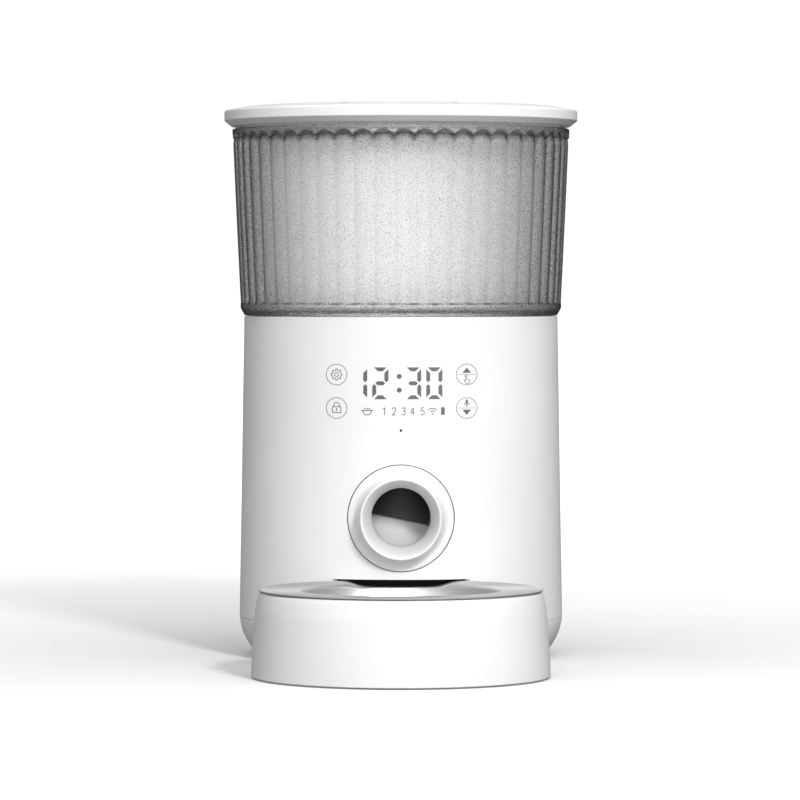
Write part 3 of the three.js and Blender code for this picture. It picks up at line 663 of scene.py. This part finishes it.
def dash_depth(height, angle):
    """How far the bevel lies inside its plain outline, in a short groove below each valley."""
    within = ease(DASH_FOOT - 0.2, DASH_FOOT + 0.8, height) * (1 - ease(DASH_TOP - 1, DASH_TOP, height))
    return DASH_DEPTH * across_reed(angle) ** 2 * within


def reed_depth(height, angle):
    """How far the reeded wall lies inside the smooth one: rounded reeds that end in arches."""
    across = across_reed(angle)
    depth = CREST_DEPTH + VALLEY_DEPTH * across**2
    below = below_arch(height, across)
    head = ARCH_DIP * (1 - ease(0.0, ARCH_FADE, below))
    return (depth + head) * ease(0.0, ARCH_LEDGE, below) * ease(0.0, 1.2, height - REED_FOOT)


def paint_shade_under_arches(tub):
    """Stores painted shade for each point, standing in for the shade under each arch's ledge: most just
    under an arch, fading out down the reed.
    """
    shades = tub.data.attributes.new(ARCH_PAINTED_SHADE, "FLOAT", "POINT")
    for vertex, shade in zip(tub.data.vertices, shades.data):
        x, forward, height = vertex.co.x / MM, (AXIS_Y - vertex.co.y) / MM, vertex.co.z / MM
        if height < REED_FOOT or height > BIN_TOP - 1:
            continue
        below = below_arch(height, across_reed(math.atan2(x, forward)))
        shade.value = ease(0.0, 0.6, below) * (1 - ease(1.5, ARCH_FADE + 1, below))


def make_bin():
    reed_end = 291.2
    heights = [*spread(195.6, 197, 6), *spread(198, 280, 10), *spread(281.5, reed_end, 34)]
    skin = [Vector((bin_radius(height), height)) for height in heights]
    foot = rounded([
        (74.8, 192, 0), (74.8, 184.3, 0.3), (77.2, 184.3, 0.3), (77.2, BIN_BOTTOM, 0),
        (86.9, BIN_BOTTOM, 0.4), (87.6, 190.4, 0), (88.1, 191.2, 0), (88.7, 192.3, 0),
        (BIN_FOOT, 193.4, 0.4), (BIN_FOOT + 0.08, REED_FOOT, 0),
    ], closed=False)
    rim = rounded([
        (bin_radius(reed_end), reed_end, 0), (BIN_RIM, 292.4, 0.3), (BIN_RIM - 0.5, BIN_TOP, 0.4),
        (BIN_RIM - 2.6, BIN_TOP, 0.4), (86.4, BIN_FOOT_Z, 0.8), (84.5, 192, 0.8), (80, 192, 0),
    ], closed=False)

    def reeded(radius, height, angle):
        if DASH_FOOT < height < DASH_TOP and radius > BIN_FOOT - 1.9:
            return radius - dash_depth(height, angle), height
        if height >= REED_FOOT and radius > bin_radius(height) - 1:
            return radius - reed_depth(height, angle), height
        return radius, height

    tub = turned("reeded_bin", [*foot, *skin, *rim[1:]], facets=REEDS * 12, shape=reeded)
    # painted shade under the arches
    paint_shade_under_arches(tub)
    smooth(tub, 60)
    dress(tub, SMOKE, "bin", "food_bin", slot="smoked_plastic")


# ---------- Lid ----------

LID_RADIUS = 98.3
LID_TOP = 306.0
LID_BOTTOM = 294.4
LID_CHAMFER = 3.2  # height of the chamfer around the lower edge
TOP_EDGE, TOP_EDGE_Z = 93.6, 304.0  # the slope at the edge of the lid's top
TOP_INNER, TOP_INNER_Z = 86.0, 305.4
BOSS_RADIUS, BOSS_FOOT = 6.0, 300.4  # the boss that the pivot screw goes into
PLUG_FACE = 297.6  # underside of the inner lid
PLUG_FOOT = 284.0


def make_lid():
    outline = rounded([
        (0, 303.4, 0), (2.3, 303.4, 0), (2.3, BOSS_FOOT, 0), (BOSS_RADIUS, BOSS_FOOT, 0.3),
        (BOSS_RADIUS, 303.2, 0.5), (88.6, 302.2, 0.8), (90.9, 300.9, 0.5),
        (90.9, LID_BOTTOM, 0.2), (94.3, LID_BOTTOM, 0.3),
        (LID_RADIUS, LID_BOTTOM + LID_CHAMFER, 0.3), (LID_RADIUS, 303.2, 1.2),
        (TOP_EDGE, TOP_EDGE_Z, 0.8), (TOP_INNER, TOP_INNER_Z, 2.0), (60, 305.95, 8.0), (0, LID_TOP, 0),
    ], closed=False)
    lid = turned("lid", outline, closed=False)
    smooth(lid, 28)
    dress(lid, WHITE, "lid", "lid_cover", slot="shell_white")


def make_lid_plug():
    """The inner lid: a ring for the desiccant in the middle, and a skirt with a groove for the seal."""
    ring_foot, top = 283.4, 300
    outline = rounded([
        (2.4, PLUG_FACE, 0), (28, PLUG_FACE, 0.3), (28, ring_foot, 0.3), (30, ring_foot, 0.3),
        (30, PLUG_FACE, 0.5), (84.8, PLUG_FACE, 0.5), (85, PLUG_FOOT, 0.4), (87.2, PLUG_FOOT, 0.4),
        (88.3, 287.6, 0.2), (86.8, 287.6, 0), (86.8, 291.4, 0), (88.3, 291.4, 0.2),
        (88.3, 295.6, 0.3), (90.5, 295.6, 0.3), (90.5, top, 0.3), (2.4, top, 0.2),
    ])
    plug = turned("inner_lid_disc", outline)
    smooth(plug)
    dress(plug, INNER_GREY, "inner_lid", "lid_plug", slot="inner_grey")


def make_lid_seal():
    outline = rounded([
        (87.1, 288, 0.2), (89.4, 288, 0.5), (90.5, 289.5, 0.6), (89.4, 291, 0.5), (87.1, 291, 0.2),
    ])
    seal = turned("lid_seal", outline)
    smooth(seal, 60)
    dress(seal, SILICONE, "inner_lid", "lid_seal_ring", slot="silicone")


# ---------- Metering parts seen when the bin is off ----------


def make_funnel():
    """The cone that leads food from the bin to the rotor chamber, with its flange and seal seat."""
    outline = rounded([
        (58, 150, 0), (67, 150, 0.3), (67, 152.4, 0.3), (60.6, 152.4, 0.4), (60.6, 155, 0.5),
        (81.9, 184, 0.6), (81.9, 186.7, 0.2), (84.5, 186.7, 0.3), (84.5, SHELL_TOP, 0.4),
        (79.5, SHELL_TOP, 0.6), (79.5, 184, 1.0), (58.2, 154, 1.0),
    ])
    funnel = turned("hopper_cone", outline)
    smooth(funnel)
    dress(funnel, INNER_GREY, "housing", "hopper_funnel", slot="inner_grey")


# ---------- Bowl ----------

NOTCH_DEPTH = 2.6
NOTCH_FLAT = 19.5  # half the width of the notch's flat bottom
NOTCH_EDGE = 30.3  # half its width at the top
STAND_RIM = 45.3
FLANGE = 45.6  # underside of the bowl's flange
BOWL_FLOOR = 12.0


def notched(inner, outer, lowest):
    """A shape function that lowers the back of a rim into the notch below the outlet."""

    def shape(radius, height, angle):
        x, forward = radius * math.sin(angle), math.cos(angle)
        if forward > 0 or height < lowest:
            return radius, height
        along = 1 - ease(NOTCH_FLAT, NOTCH_EDGE, abs(x))
        return radius, height - NOTCH_DEPTH * along * ease(inner, outer, radius)

    return shape


def make_bowl_stand():
    floor = FOOT_HEIGHT + 2
    outline = rounded([
        (0, FOOT_HEIGHT, 0), (78.9, FOOT_HEIGHT, 0.5), (78.5, 10.3, 2), (77.9, 19.8, 4),
        (76.8, 35.6, 4), (75.2, 43.6, 0.9), (74.3, STAND_RIM, 0.9), (72.9, STAND_RIM, 0.4),
        (72.2, 41, 0.6), (74.5, 35.6, 2), (75.6, 19.8, 2), (76.2, floor, 1), (0, floor, 0),
    ], closed=False)
    stand = turned("bowl_stand_tub", outline, axis_y=BOWL_Y, facets=2 * FINE, closed=False,
                   shape=notched(60, 68, 41.5))
    smooth(stand)
    dress(stand, WHITE, "bowl_stand", "bowl_tray", slot="shell_white")


def make_bowl():
    """The pressed bowl. Its own origin is on its axis, which the rings of turning marks need."""
    sheet = 0.9
    inside, top = BOWL_FLOOR + sheet, FLANGE + sheet
    outline = rounded([
        (0, BOWL_FLOOR, 0), (34, BOWL_FLOOR, 6), (44.5, 18.5, 6), (52.3, 38.2, 3),
        (53.6, FLANGE - 1.2, 0.7), (55.2, FLANGE - 0.2, 0.9), (74.2, FLANGE, 0.6),
        (75, FLANGE + 0.3, 0.3), (75, FLANGE + 0.7, 0.3), (74.2, top + 0.1, 0.6), (54.8, top - 0.2, 0.9),
        (52.8, FLANGE - 0.8, 0.7), (51.4, 38.2, 3), (43.7, 19.2, 6), (33.6, inside, 6), (0, inside, 0),
    ], closed=False)
    bowl = turned("bowl_pressing", outline, axis_y=BOWL_Y, facets=2 * FINE, closed=False,
                  shape=notched(50, 56, 40))
    centre = Vector((0, BOWL_Y, 0))
    for vertex in bowl.data.vertices:
        vertex.co -= centre
    bowl.location = centre
    smooth(bowl, 40)
    dress(bowl, BOWL_STEEL, "bowl_stand", "steel_bowl", slot="bowl_steel")


# ---------- Symbols on the front and the lid ----------

PRINT = 0.06  # how far a symbol stands off its surface, in millimetres
SUNK = -0.05  # how deep its underside lies
SLICE = 1.0  # widest step across, so that a symbol follows the curve behind it


def on_shell(x, height, lift):
    """A place on the front of the body."""
    radius = body_radius(height) + lift
    return (x * MM, AXIS_Y - math.sqrt(radius**2 - x * x) * MM, height * MM)


def on_lid(x, reach, lift):
    """A place on the lid's top, a given way forward of the axis."""
    radius = math.hypot(x, reach)
    share = (TOP_EDGE - radius) / (TOP_EDGE - TOP_INNER)
    height = TOP_EDGE_Z + (TOP_INNER_Z - TOP_EDGE_Z) * share + lift
    return (x * MM, AXIS_Y - reach * MM, height * MM)


class Print:
    """Flat outlines in millimetres, sliced and wrapped onto a curved surface as thin relief."""

    def __init__(self, place=on_shell):
        self.place = place
        self.vertices, self.faces = [], []

    def polygon(self, points):
        """A filled convex outline, its top face and a skirt down into the surface."""
        base = len(self.vertices)
        count = len(points)
        self.vertices += [(x, z, PRINT) for x, z in points]
        self.vertices += [(x, z, SUNK) for x, z in points]
        self.faces.append(tuple(base + i for i in range(count)))
        self.faces.append(tuple(base + count + i for i in reversed(range(count))))
        for i in range(count):
            j = (i + 1) % count
            self.faces.append((base + i, base + count + i, base + count + j, base + j))

    def stroke(self, points, width, closed=False):
        """A line of even width through points, as a chain of quads."""
        places = [Vector(p) for p in points]
        if closed:
            places.append(places[0])
        for a, b in zip(places, places[1:]):
            along = (b - a).normalized()
            side = Vector((-along.y, along.x)) * width / 2
            spare = along * width * 0.12
            quad = [a + side - spare, a - side - spare, b - side + spare, b + side + spare]
            self.polygon([tuple(p) for p in quad])

    def curve(self, x, z, radius, width, start=0, end=360, steps=24):
        """A line along an arc, angles in degrees."""
        points = []
        for i in range(steps + 1):
            angle = math.radians(start + (end - start) * i / steps)
            points.append((x + radius * math.cos(angle), z + radius * math.sin(angle)))
        self.stroke(points, width)

    def dot(self, x, z, radius, steps=20):
        turns = [2 * math.pi * i / steps for i in range(steps)]
        self.polygon([(x + radius * math.cos(t), z + radius * math.sin(t)) for t in turns])

    def finish(self, name, material, body="housing"):
        """Slices the flat outlines across, wraps them onto their surface and makes the piece."""
        piece = new_object(name, self.vertices, self.faces)
        bm = bmesh.new()
        bm.from_mesh(piece.data)
        reach = max(abs(vertex.co.x) for vertex in bm.verts)
        cuts = int(reach / SLICE)
        for cut in range(-cuts, cuts + 1):
            geometry = [*bm.verts, *bm.edges, *bm.faces]
            bmesh.ops.bisect_plane(bm, geom=geometry, plane_co=(cut * SLICE, 0, 0), plane_no=(1, 0, 0))
        for vertex in bm.verts:
            vertex.co = self.place(*vertex.co)
        bmesh.ops.recalc_face_normals(bm, faces=bm.faces)
        bm.to_mesh(piece.data)
        bm.free()
        dress(piece, material, body, slot="shell_white")


SEGMENTS = {"0": "abcdef", "1": "bc", "2": "abged", "3": "abgcd"}  # the bars that a digit lights
DIGIT_WIDTH, DIGIT_HEIGHT, BAR = 8.75, 17.2, 2.15
SETBACK = 0.95  # from a digit's corner to the start of a bar along its outer edge
TIP_GAP = 0.46  # from a digit's middle to the tip of an upright bar
CROSS_GAP = 0.65  # from the middle of an upright bar to the tip of the bar across


def seven_segment(sheet, digit, x, z):
    """One seven-segment digit with mitred bars, lower left corner at (x, z)."""
    right, top, middle = x + DIGIT_WIDTH, z + DIGIT_HEIGHT, z + DIGIT_HEIGHT / 2

    def flat(outer, inner):
        """The top or bottom bar, between its outer and inner edge."""
        sheet.polygon([
            (x + SETBACK, outer), (right - SETBACK, outer),
            (right - SETBACK - BAR, inner), (x + SETBACK + BAR, inner),
        ])

    def upright(outer, inner, corner, way):
        """A side bar from a corner of the digit towards its middle; way is 1 up or -1 down."""
        start, tip = corner + way * SETBACK, middle - way * TIP_GAP
        shoulder = tip - way * BAR / 2
        sheet.polygon([
            (outer, start), (outer, shoulder), ((outer + inner) / 2, tip), (inner, shoulder),
            (inner, start + way * BAR),
        ])

    def crossbar():
        left_tip, right_tip = x + BAR / 2 + CROSS_GAP, right - BAR / 2 - CROSS_GAP
        sheet.polygon([
            (left_tip, middle), (left_tip + BAR / 2, middle - BAR / 2),
            (right_tip - BAR / 2, middle - BAR / 2), (right_tip, middle),
            (right_tip - BAR / 2, middle + BAR / 2), (left_tip + BAR / 2, middle + BAR / 2),
        ])

    bars = {
        "a": lambda: flat(top, top - BAR),
        "b": lambda: upright(right, right - BAR, top, -1),
        "c": lambda: upright(right, right - BAR, z, 1),
        "d": lambda: flat(z, z + BAR),
        "e": lambda: upright(x, x + BAR, z, 1),
        "f": lambda: upright(x, x + BAR, top, -1),
        "g": crossbar,
    }
    for name in SEGMENTS[digit]:
        bars[name]()


CLOCK = (("1", -26.95), ("2", -15.5), ("3", 2.2), ("0", 13.65))  # each digit and its left edge
CLOCK_FOOT = 144.8
COLON_X = -0.9
COLON_HEIGHTS = (149.7, 157.1)


def make_clock():
    """The time, with its colon."""
    sheet = Print()
    for digit, x in CLOCK:
        seven_segment(sheet, digit, x, CLOCK_FOOT)
    for z in COLON_HEIGHTS:
        sheet.dot(COLON_X, z, 1.35)
    sheet.finish("clock_symbols", INK)


DIGIT_STROKES = {  # small numerals as strokes in a box one unit wide and two high
    1: [[(0.2, 1.6), (0.6, 2), (0.6, 0)]],
    2: [[(0, 1.6), (0.25, 2), (0.75, 2), (1, 1.6), (1, 1.25), (0, 0), (1, 0)]],
    3: [[(0, 1.75), (0.3, 2), (0.75, 2), (1, 1.6), (0.8, 1.15), (0.4, 1.05)],
        [(0.8, 1.05), (1, 0.6), (0.8, 0.1), (0.4, 0), (0, 0.2)]],
    4: [[(0.75, 0), (0.75, 2), (0, 0.6), (1.05, 0.6)]],
    5: [[(0.95, 2), (0.15, 2), (0.1, 1.15), (0.6, 1.25), (1, 0.9), (0.95, 0.3), (0.5, 0), (0, 0.15)]],
}
MEAL_FOOT, MEAL_HEIGHT = 136.3, 3.9
MEAL_LINE = 0.46  # width of the row's lines
MEAL_NUMBERS = ((1, -9.0), (2, -3.7), (3, 1.4), (4, 6.2), (5, 11.65))  # each number and its middle
NUMBER_WIDTH = 1.9
BOWL_X, WIRELESS_X, BATTERY_X = -18.2, 17.1, 22.65


def make_meal_row():
    """A bowl symbol, the meal numbers 1 to 5, a wireless mark and a battery mark."""
    sheet = Print()
    foot = MEAL_FOOT
    sheet.curve(BOWL_X, foot + 2.3, 2.3, MEAL_LINE, 180, 360)
    sheet.stroke([(BOWL_X - 3.2, foot + 2.4), (BOWL_X + 3.2, foot + 2.4)], MEAL_LINE)
    for step in (-1.2, 0, 1.2):
        sheet.dot(BOWL_X + step, foot + 3.4, 0.42, 10)
    for number, x in MEAL_NUMBERS:
        for strokes in DIGIT_STROKES[number]:
            sheet.stroke([
                (x + (px - 0.5) * NUMBER_WIDTH, foot + pz * MEAL_HEIGHT / 2) for px, pz in strokes
            ], MEAL_LINE)
    for radius in (1.7, 3.1):
        sheet.curve(WIRELESS_X, foot + 0.5, radius, MEAL_LINE, 45, 135, 10)
    sheet.dot(WIRELESS_X, foot + 0.55, 0.45, 12)
    for half, low, high in ((1.05, 0, MEAL_HEIGHT), (0.55, 4.0, 4.4)):
        left, right = BATTERY_X - half, BATTERY_X + half
        sheet.polygon([(left, foot + low), (right, foot + low), (right, foot + high), (left, foot + high)])
    sheet.finish("meal_row_symbols", INK)


KEY_LEFT, KEY_RIGHT = -34.8, 35.6
KEY_HIGH, KEY_LOW = 158.0, 139.9
KEY_RADIUS = 5.6


def make_key_rings():
    """A ring around each of the four keys, and a bar across the two split ones."""
    sheet = Print()
    for x in (KEY_LEFT, KEY_RIGHT):
        for z in (KEY_HIGH, KEY_LOW):
            sheet.curve(x, z, KEY_RADIUS, 0.4, steps=48)
    for z in (KEY_HIGH, KEY_LOW):
        sheet.stroke([(KEY_RIGHT - KEY_RADIUS + 1, z), (KEY_RIGHT + KEY_RADIUS - 1, z)], 0.26)
    sheet.finish("key_rings", PALE_INK)


def gear_symbol(sheet, x, z):
    teeth, points = 8, []
    for tooth in range(teeth):
        for share, radius in ((-0.28, 2.35), (-0.18, 3.0), (0.18, 3.0), (0.28, 2.35)):
            angle = 2 * math.pi * (tooth + share) / teeth
            points.append((x + radius * math.cos(angle), z + radius * math.sin(angle)))
    sheet.stroke(points, 0.36, closed=True)
    sheet.curve(x, z, 1.1, 0.36)


def padlock_symbol(sheet, x, z):
    sheet.stroke([(x - 2.3, z - 2.4), (x + 2.3, z - 2.4), (x + 2.3, z + 0.7), (x - 2.3, z + 0.7)],
                 0.4, closed=True)
    sheet.curve(x, z + 1.5, 1.5, 0.4, 0, 180)
    for side in (-1.5, 1.5):
        sheet.stroke([(x + side, z + 0.7), (x + side, z + 1.5)], 0.4)
    sheet.dot(x, z - 0.6, 0.4, 12)
    sheet.stroke([(x, z - 0.7), (x, z - 1.5)], 0.34)


def hand_symbol(sheet, x, z):
    """A pointing hand for feeding by hand."""
    sheet.stroke([(x - 0.7, z + 1.6), (x - 0.6, z - 0.3), (x - 1.5, z - 0.1), (x - 0.6, z - 1.8)], 0.34)
    sheet.curve(x - 0.4, z + 1.6, 0.3, 0.3, 0, 180, 6)
    sheet.stroke([(x - 0.1, z + 1.6), (x - 0.1, z + 0.4), (x + 1.5, z + 0.1), (x + 1.4, z - 1.4)], 0.34)
    sheet.stroke([(x + 1.4, z - 1.4), (x + 1.0, z - 1.9), (x - 0.6, z - 1.8)], 0.34)
    sheet.curve(x - 0.4, z + 1.5, 1.1, 0.26, 10, 170, 10)


def microphone_symbol(sheet, x, z):
    sheet.stroke([(x, z + 1.3), (x, z + 0.1)], 1.25)
    sheet.dot(x, z + 1.35, 0.62, 12)
    sheet.dot(x, z + 0.05, 0.62, 12)
    sheet.curve(x, z + 0.2, 1.35, 0.34, 180, 360, 10)
    sheet.stroke([(x, z - 1.1), (x, z - 1.9)], 0.5)


def make_key_symbols():
    sheet = Print()
    gear_symbol(sheet, KEY_LEFT, KEY_HIGH)
    padlock_symbol(sheet, KEY_LEFT, KEY_LOW)
    half, rise = 2.4, 2.9  # half the width of an arrowhead, and its height
    up, down = KEY_HIGH + 0.9, KEY_LOW - 0.9
    sheet.polygon([(KEY_RIGHT - half, up), (KEY_RIGHT + half, up), (KEY_RIGHT, up + rise)])
    sheet.polygon([(KEY_RIGHT - half, down), (KEY_RIGHT, down - rise), (KEY_RIGHT + half, down)])
    hand_symbol(sheet, KEY_RIGHT, KEY_HIGH - 2.9)
    microphone_symbol(sheet, KEY_RIGHT, KEY_LOW + 2.7)
    sheet.finish("key_symbols", INK)


LID_MARK_RADIUS = 90.0  # distance of the lid's marks from its middle


def make_lid_symbols():
    """An open and a closed padlock at the edge of the lid, for the two ways to turn it."""
    sheet = Print(on_lid)
    for x, swing in ((-31, 0.9), (29, 0)):
        reach = math.sqrt(LID_MARK_RADIUS**2 - x * x)
        sheet.stroke([(x - 2, reach + 0.7), (x + 2, reach + 0.7)], 2.2)
        sheet.curve(x + swing, reach - 0.5, 1.3, 0.4, 180, 360, 10)
        sheet.stroke([(x - 6.5, reach), (x - 4, reach)], 0.5)
        sheet.stroke([(x + 4, reach), (x + 6.5, reach)], 0.5)
    sheet.finish("lid_symbols", FAINT_INK, "lid")


# ---------- CAD nodes that stay ----------

KEPT = (
    (INNER_GREY, ("portion_shield", "rotor_chamber", "battery_box", "board_bracket")),
    (INNER_WHITE, ("display_block", "desiccant_cover")),
    (WHITE, ("battery_door",)),
    (DARK, ("rotor", "stirrer", "gearbox_housing", "gearbox_cover")),
    (BLACK, ("ir_emitter", "ir_receiver", "microphone", "speaker", "power_jack")),
    (NYLON, ("output_gear", "idler_gear")),
    (SILICONE, ("bin_seal_ring",)),
    (STEEL, ("rotor_shaft", "idler_pin", "drive_motor", "lid_pivot_screw", "battery_contacts",
             "wifi_module")),
    (BRASS, ("shaft_bush", "motor_pinion")),
    (BOARD, ("display_board", "main_board")),
    (PAPER, ("desiccant_bag",)),
)
KEPT_SETS = (  # a material, the name that a set of nodes shares, and how many there are
    (RUBBER, "foot", 4), (STEEL, "base_screw", 4), (BRASS, "touch_pad", 4), (CELL, "battery", 3),
    (RUBBER, "tray_foot", 3),
)


def coat(node, material):
    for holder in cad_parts[node].material_slots:
        holder.material = material


def finish_kept_nodes():
    for material, nodes in KEPT:
        for node in nodes:
            coat(node, material)
    for material, name, count in KEPT_SETS:
        for number in range(1, count + 1):
            coat(f"{name}_{number}", material)


# ---------- Studio ----------

FLOOR_HALF = 30  # half the floor's width, in metres
DOME_RADIUS = 25
GLOW_START, GLOW_END = 0.08, 1.9  # where the floor starts to glow, and where it glows fully
LIGHTS = (  # name, place, width and height, watts
    ("key", (0.68, -1.93, 1.3), (0.3, 0.36), 35),
    ("front", (0.45, -2.55, 0.75), (2.0, 1.3), 13),
    ("top", (0.1, 0.1, 2.4), (2.2, 2.2), 18),
)
SKY = (  # a direction, and the strength away from it and towards it
    ((0, 0, 1), 0.13, 0.60),
    ((-0.2, -0.98, 0), 0.3, 1.7),
)
LENS, SENSOR = 209.25, 36
CAMERA_X, CAMERA_DISTANCE, CAMERA_HEIGHT = -0.0005, 2.5945, 0.208
CAMERA_DIP = 1.4536  # degrees below level


def make_floor():
    """Pale paper that fades into the white behind it, and that lights nothing."""
    low, high = -FLOOR_HALF, FLOOR_HALF
    floor = new_object("floor", [(low, low, 0), (high, low, 0), (high, high, 0), (low, high, 0)],
                       [(0, 1, 2, 3)])
    shader = Shader("floor_paper", Roughness=0.9)
    shader.tint(shader.noise(3.0), (0.80, 0.80, 0.80), (0.81, 0.81, 0.81))
    shader.surface.inputs["Emission Color"].default_value = (1, 1, 1, 1)
    glow = shader.ramp(polar(shader), 0.0, 0.85, GLOW_START, GLOW_END)
    shader.links.new(glow, shader.surface.inputs["Emission Strength"])
    floor.data.materials.append(shader.material)
    floor.visible_diffuse = False
    floor.visible_glossy = False


def make_backdrop():
    """A white dome seen by the camera, straight on or through the bin; it lights nothing."""
    bm = bmesh.new()
    bmesh.ops.create_uvsphere(bm, u_segments=48, v_segments=24, radius=DOME_RADIUS)
    mesh = bpy.data.meshes.new("backdrop")
    bm.to_mesh(mesh)
    bm.free()
    dome = bpy.data.objects.new("backdrop", mesh)
    bpy.context.scene.collection.objects.link(dome)
    dome.visible_diffuse = False
    dome.visible_glossy = False
    dome.visible_shadow = False
    material = bpy.data.materials.new("backdrop_white")
    material.use_nodes = True
    nodes, links = material.node_tree.nodes, material.node_tree.links
    nodes.remove(nodes["Principled BSDF"])
    glow = nodes.new("ShaderNodeEmission")
    glow.inputs["Strength"].default_value = 1.05
    links.new(glow.outputs["Emission"], nodes["Material Output"].inputs["Surface"])
    dome.data.materials.append(material)


def make_sky():
    """White light from all round, strongest from above and from the front."""
    world = bpy.data.worlds.new("studio")
    world.use_nodes = True
    nodes, links = world.node_tree.nodes, world.node_tree.links
    nodes["Background"].inputs["Color"].default_value = (1, 1, 1, 1)
    direction = nodes.new("ShaderNodeTexCoord").outputs["Generated"]
    strength = nodes.new("ShaderNodeMath")
    strength.operation = "MULTIPLY"
    for socket, (towards, low, high) in zip(strength.inputs, SKY):
        share = nodes.new("ShaderNodeVectorMath")
        share.operation = "DOT_PRODUCT"
        share.inputs[1].default_value = towards
        links.new(direction, share.inputs[0])
        level = nodes.new("ShaderNodeMapRange")
        level.inputs["From Min"].default_value = -1
        level.inputs["To Min"].default_value = low
        level.inputs["To Max"].default_value = high
        links.new(share.outputs["Value"], level.inputs["Value"])
        links.new(level.outputs["Result"], socket)
    links.new(strength.outputs["Value"], nodes["Background"].inputs["Strength"])
    bpy.context.scene.world = world


def make_lights():
    aim = Vector((0, AXIS_Y, 0.14))
    for name, place, (width, height), watts in LIGHTS:
        data = bpy.data.lights.new(name, "AREA")
        data.shape = "RECTANGLE"
        data.size, data.size_y = width, height
        data.energy = watts
        lamp = bpy.data.objects.new(name, data)
        bpy.context.scene.collection.objects.link(lamp)
        lamp.location = place
        lamp.rotation_mode = "QUATERNION"
        lamp.rotation_quaternion = (Vector(place) - aim).to_track_quat("Z", "Y")
        lamp.visible_camera = False


def make_camera():
    """A long lens a little above the middle of the body, tipped down slightly."""
    data = bpy.data.cameras.new("camera")
    data.sensor_width = SENSOR
    data.lens = LENS
    data.clip_end = 100
    camera = bpy.data.objects.new("camera", data)
    bpy.context.scene.collection.objects.link(camera)
    camera.location = (CAMERA_X, AXIS_Y - CAMERA_DISTANCE, CAMERA_HEIGHT)
    camera.rotation_euler = (math.radians(90 - CAMERA_DIP), 0, 0)
    bpy.context.scene.camera = camera


def make_studio():
    make_floor()
    make_backdrop()
    make_sky()
    make_lights()
    make_camera()
    view = bpy.context.scene.view_settings
    view.view_transform = "Standard"
    view.look = "None"


make_body_shell()
make_base_shell()
make_recess_liner()
make_outlet_bezel()
make_chute()
make_bin()
make_lid()
make_lid_plug()
make_lid_seal()
make_funnel()
make_bowl_stand()
make_bowl()
make_clock()
make_meal_row()
make_key_rings()
make_key_symbols()
make_lid_symbols()
finish_kept_nodes()
make_studio()
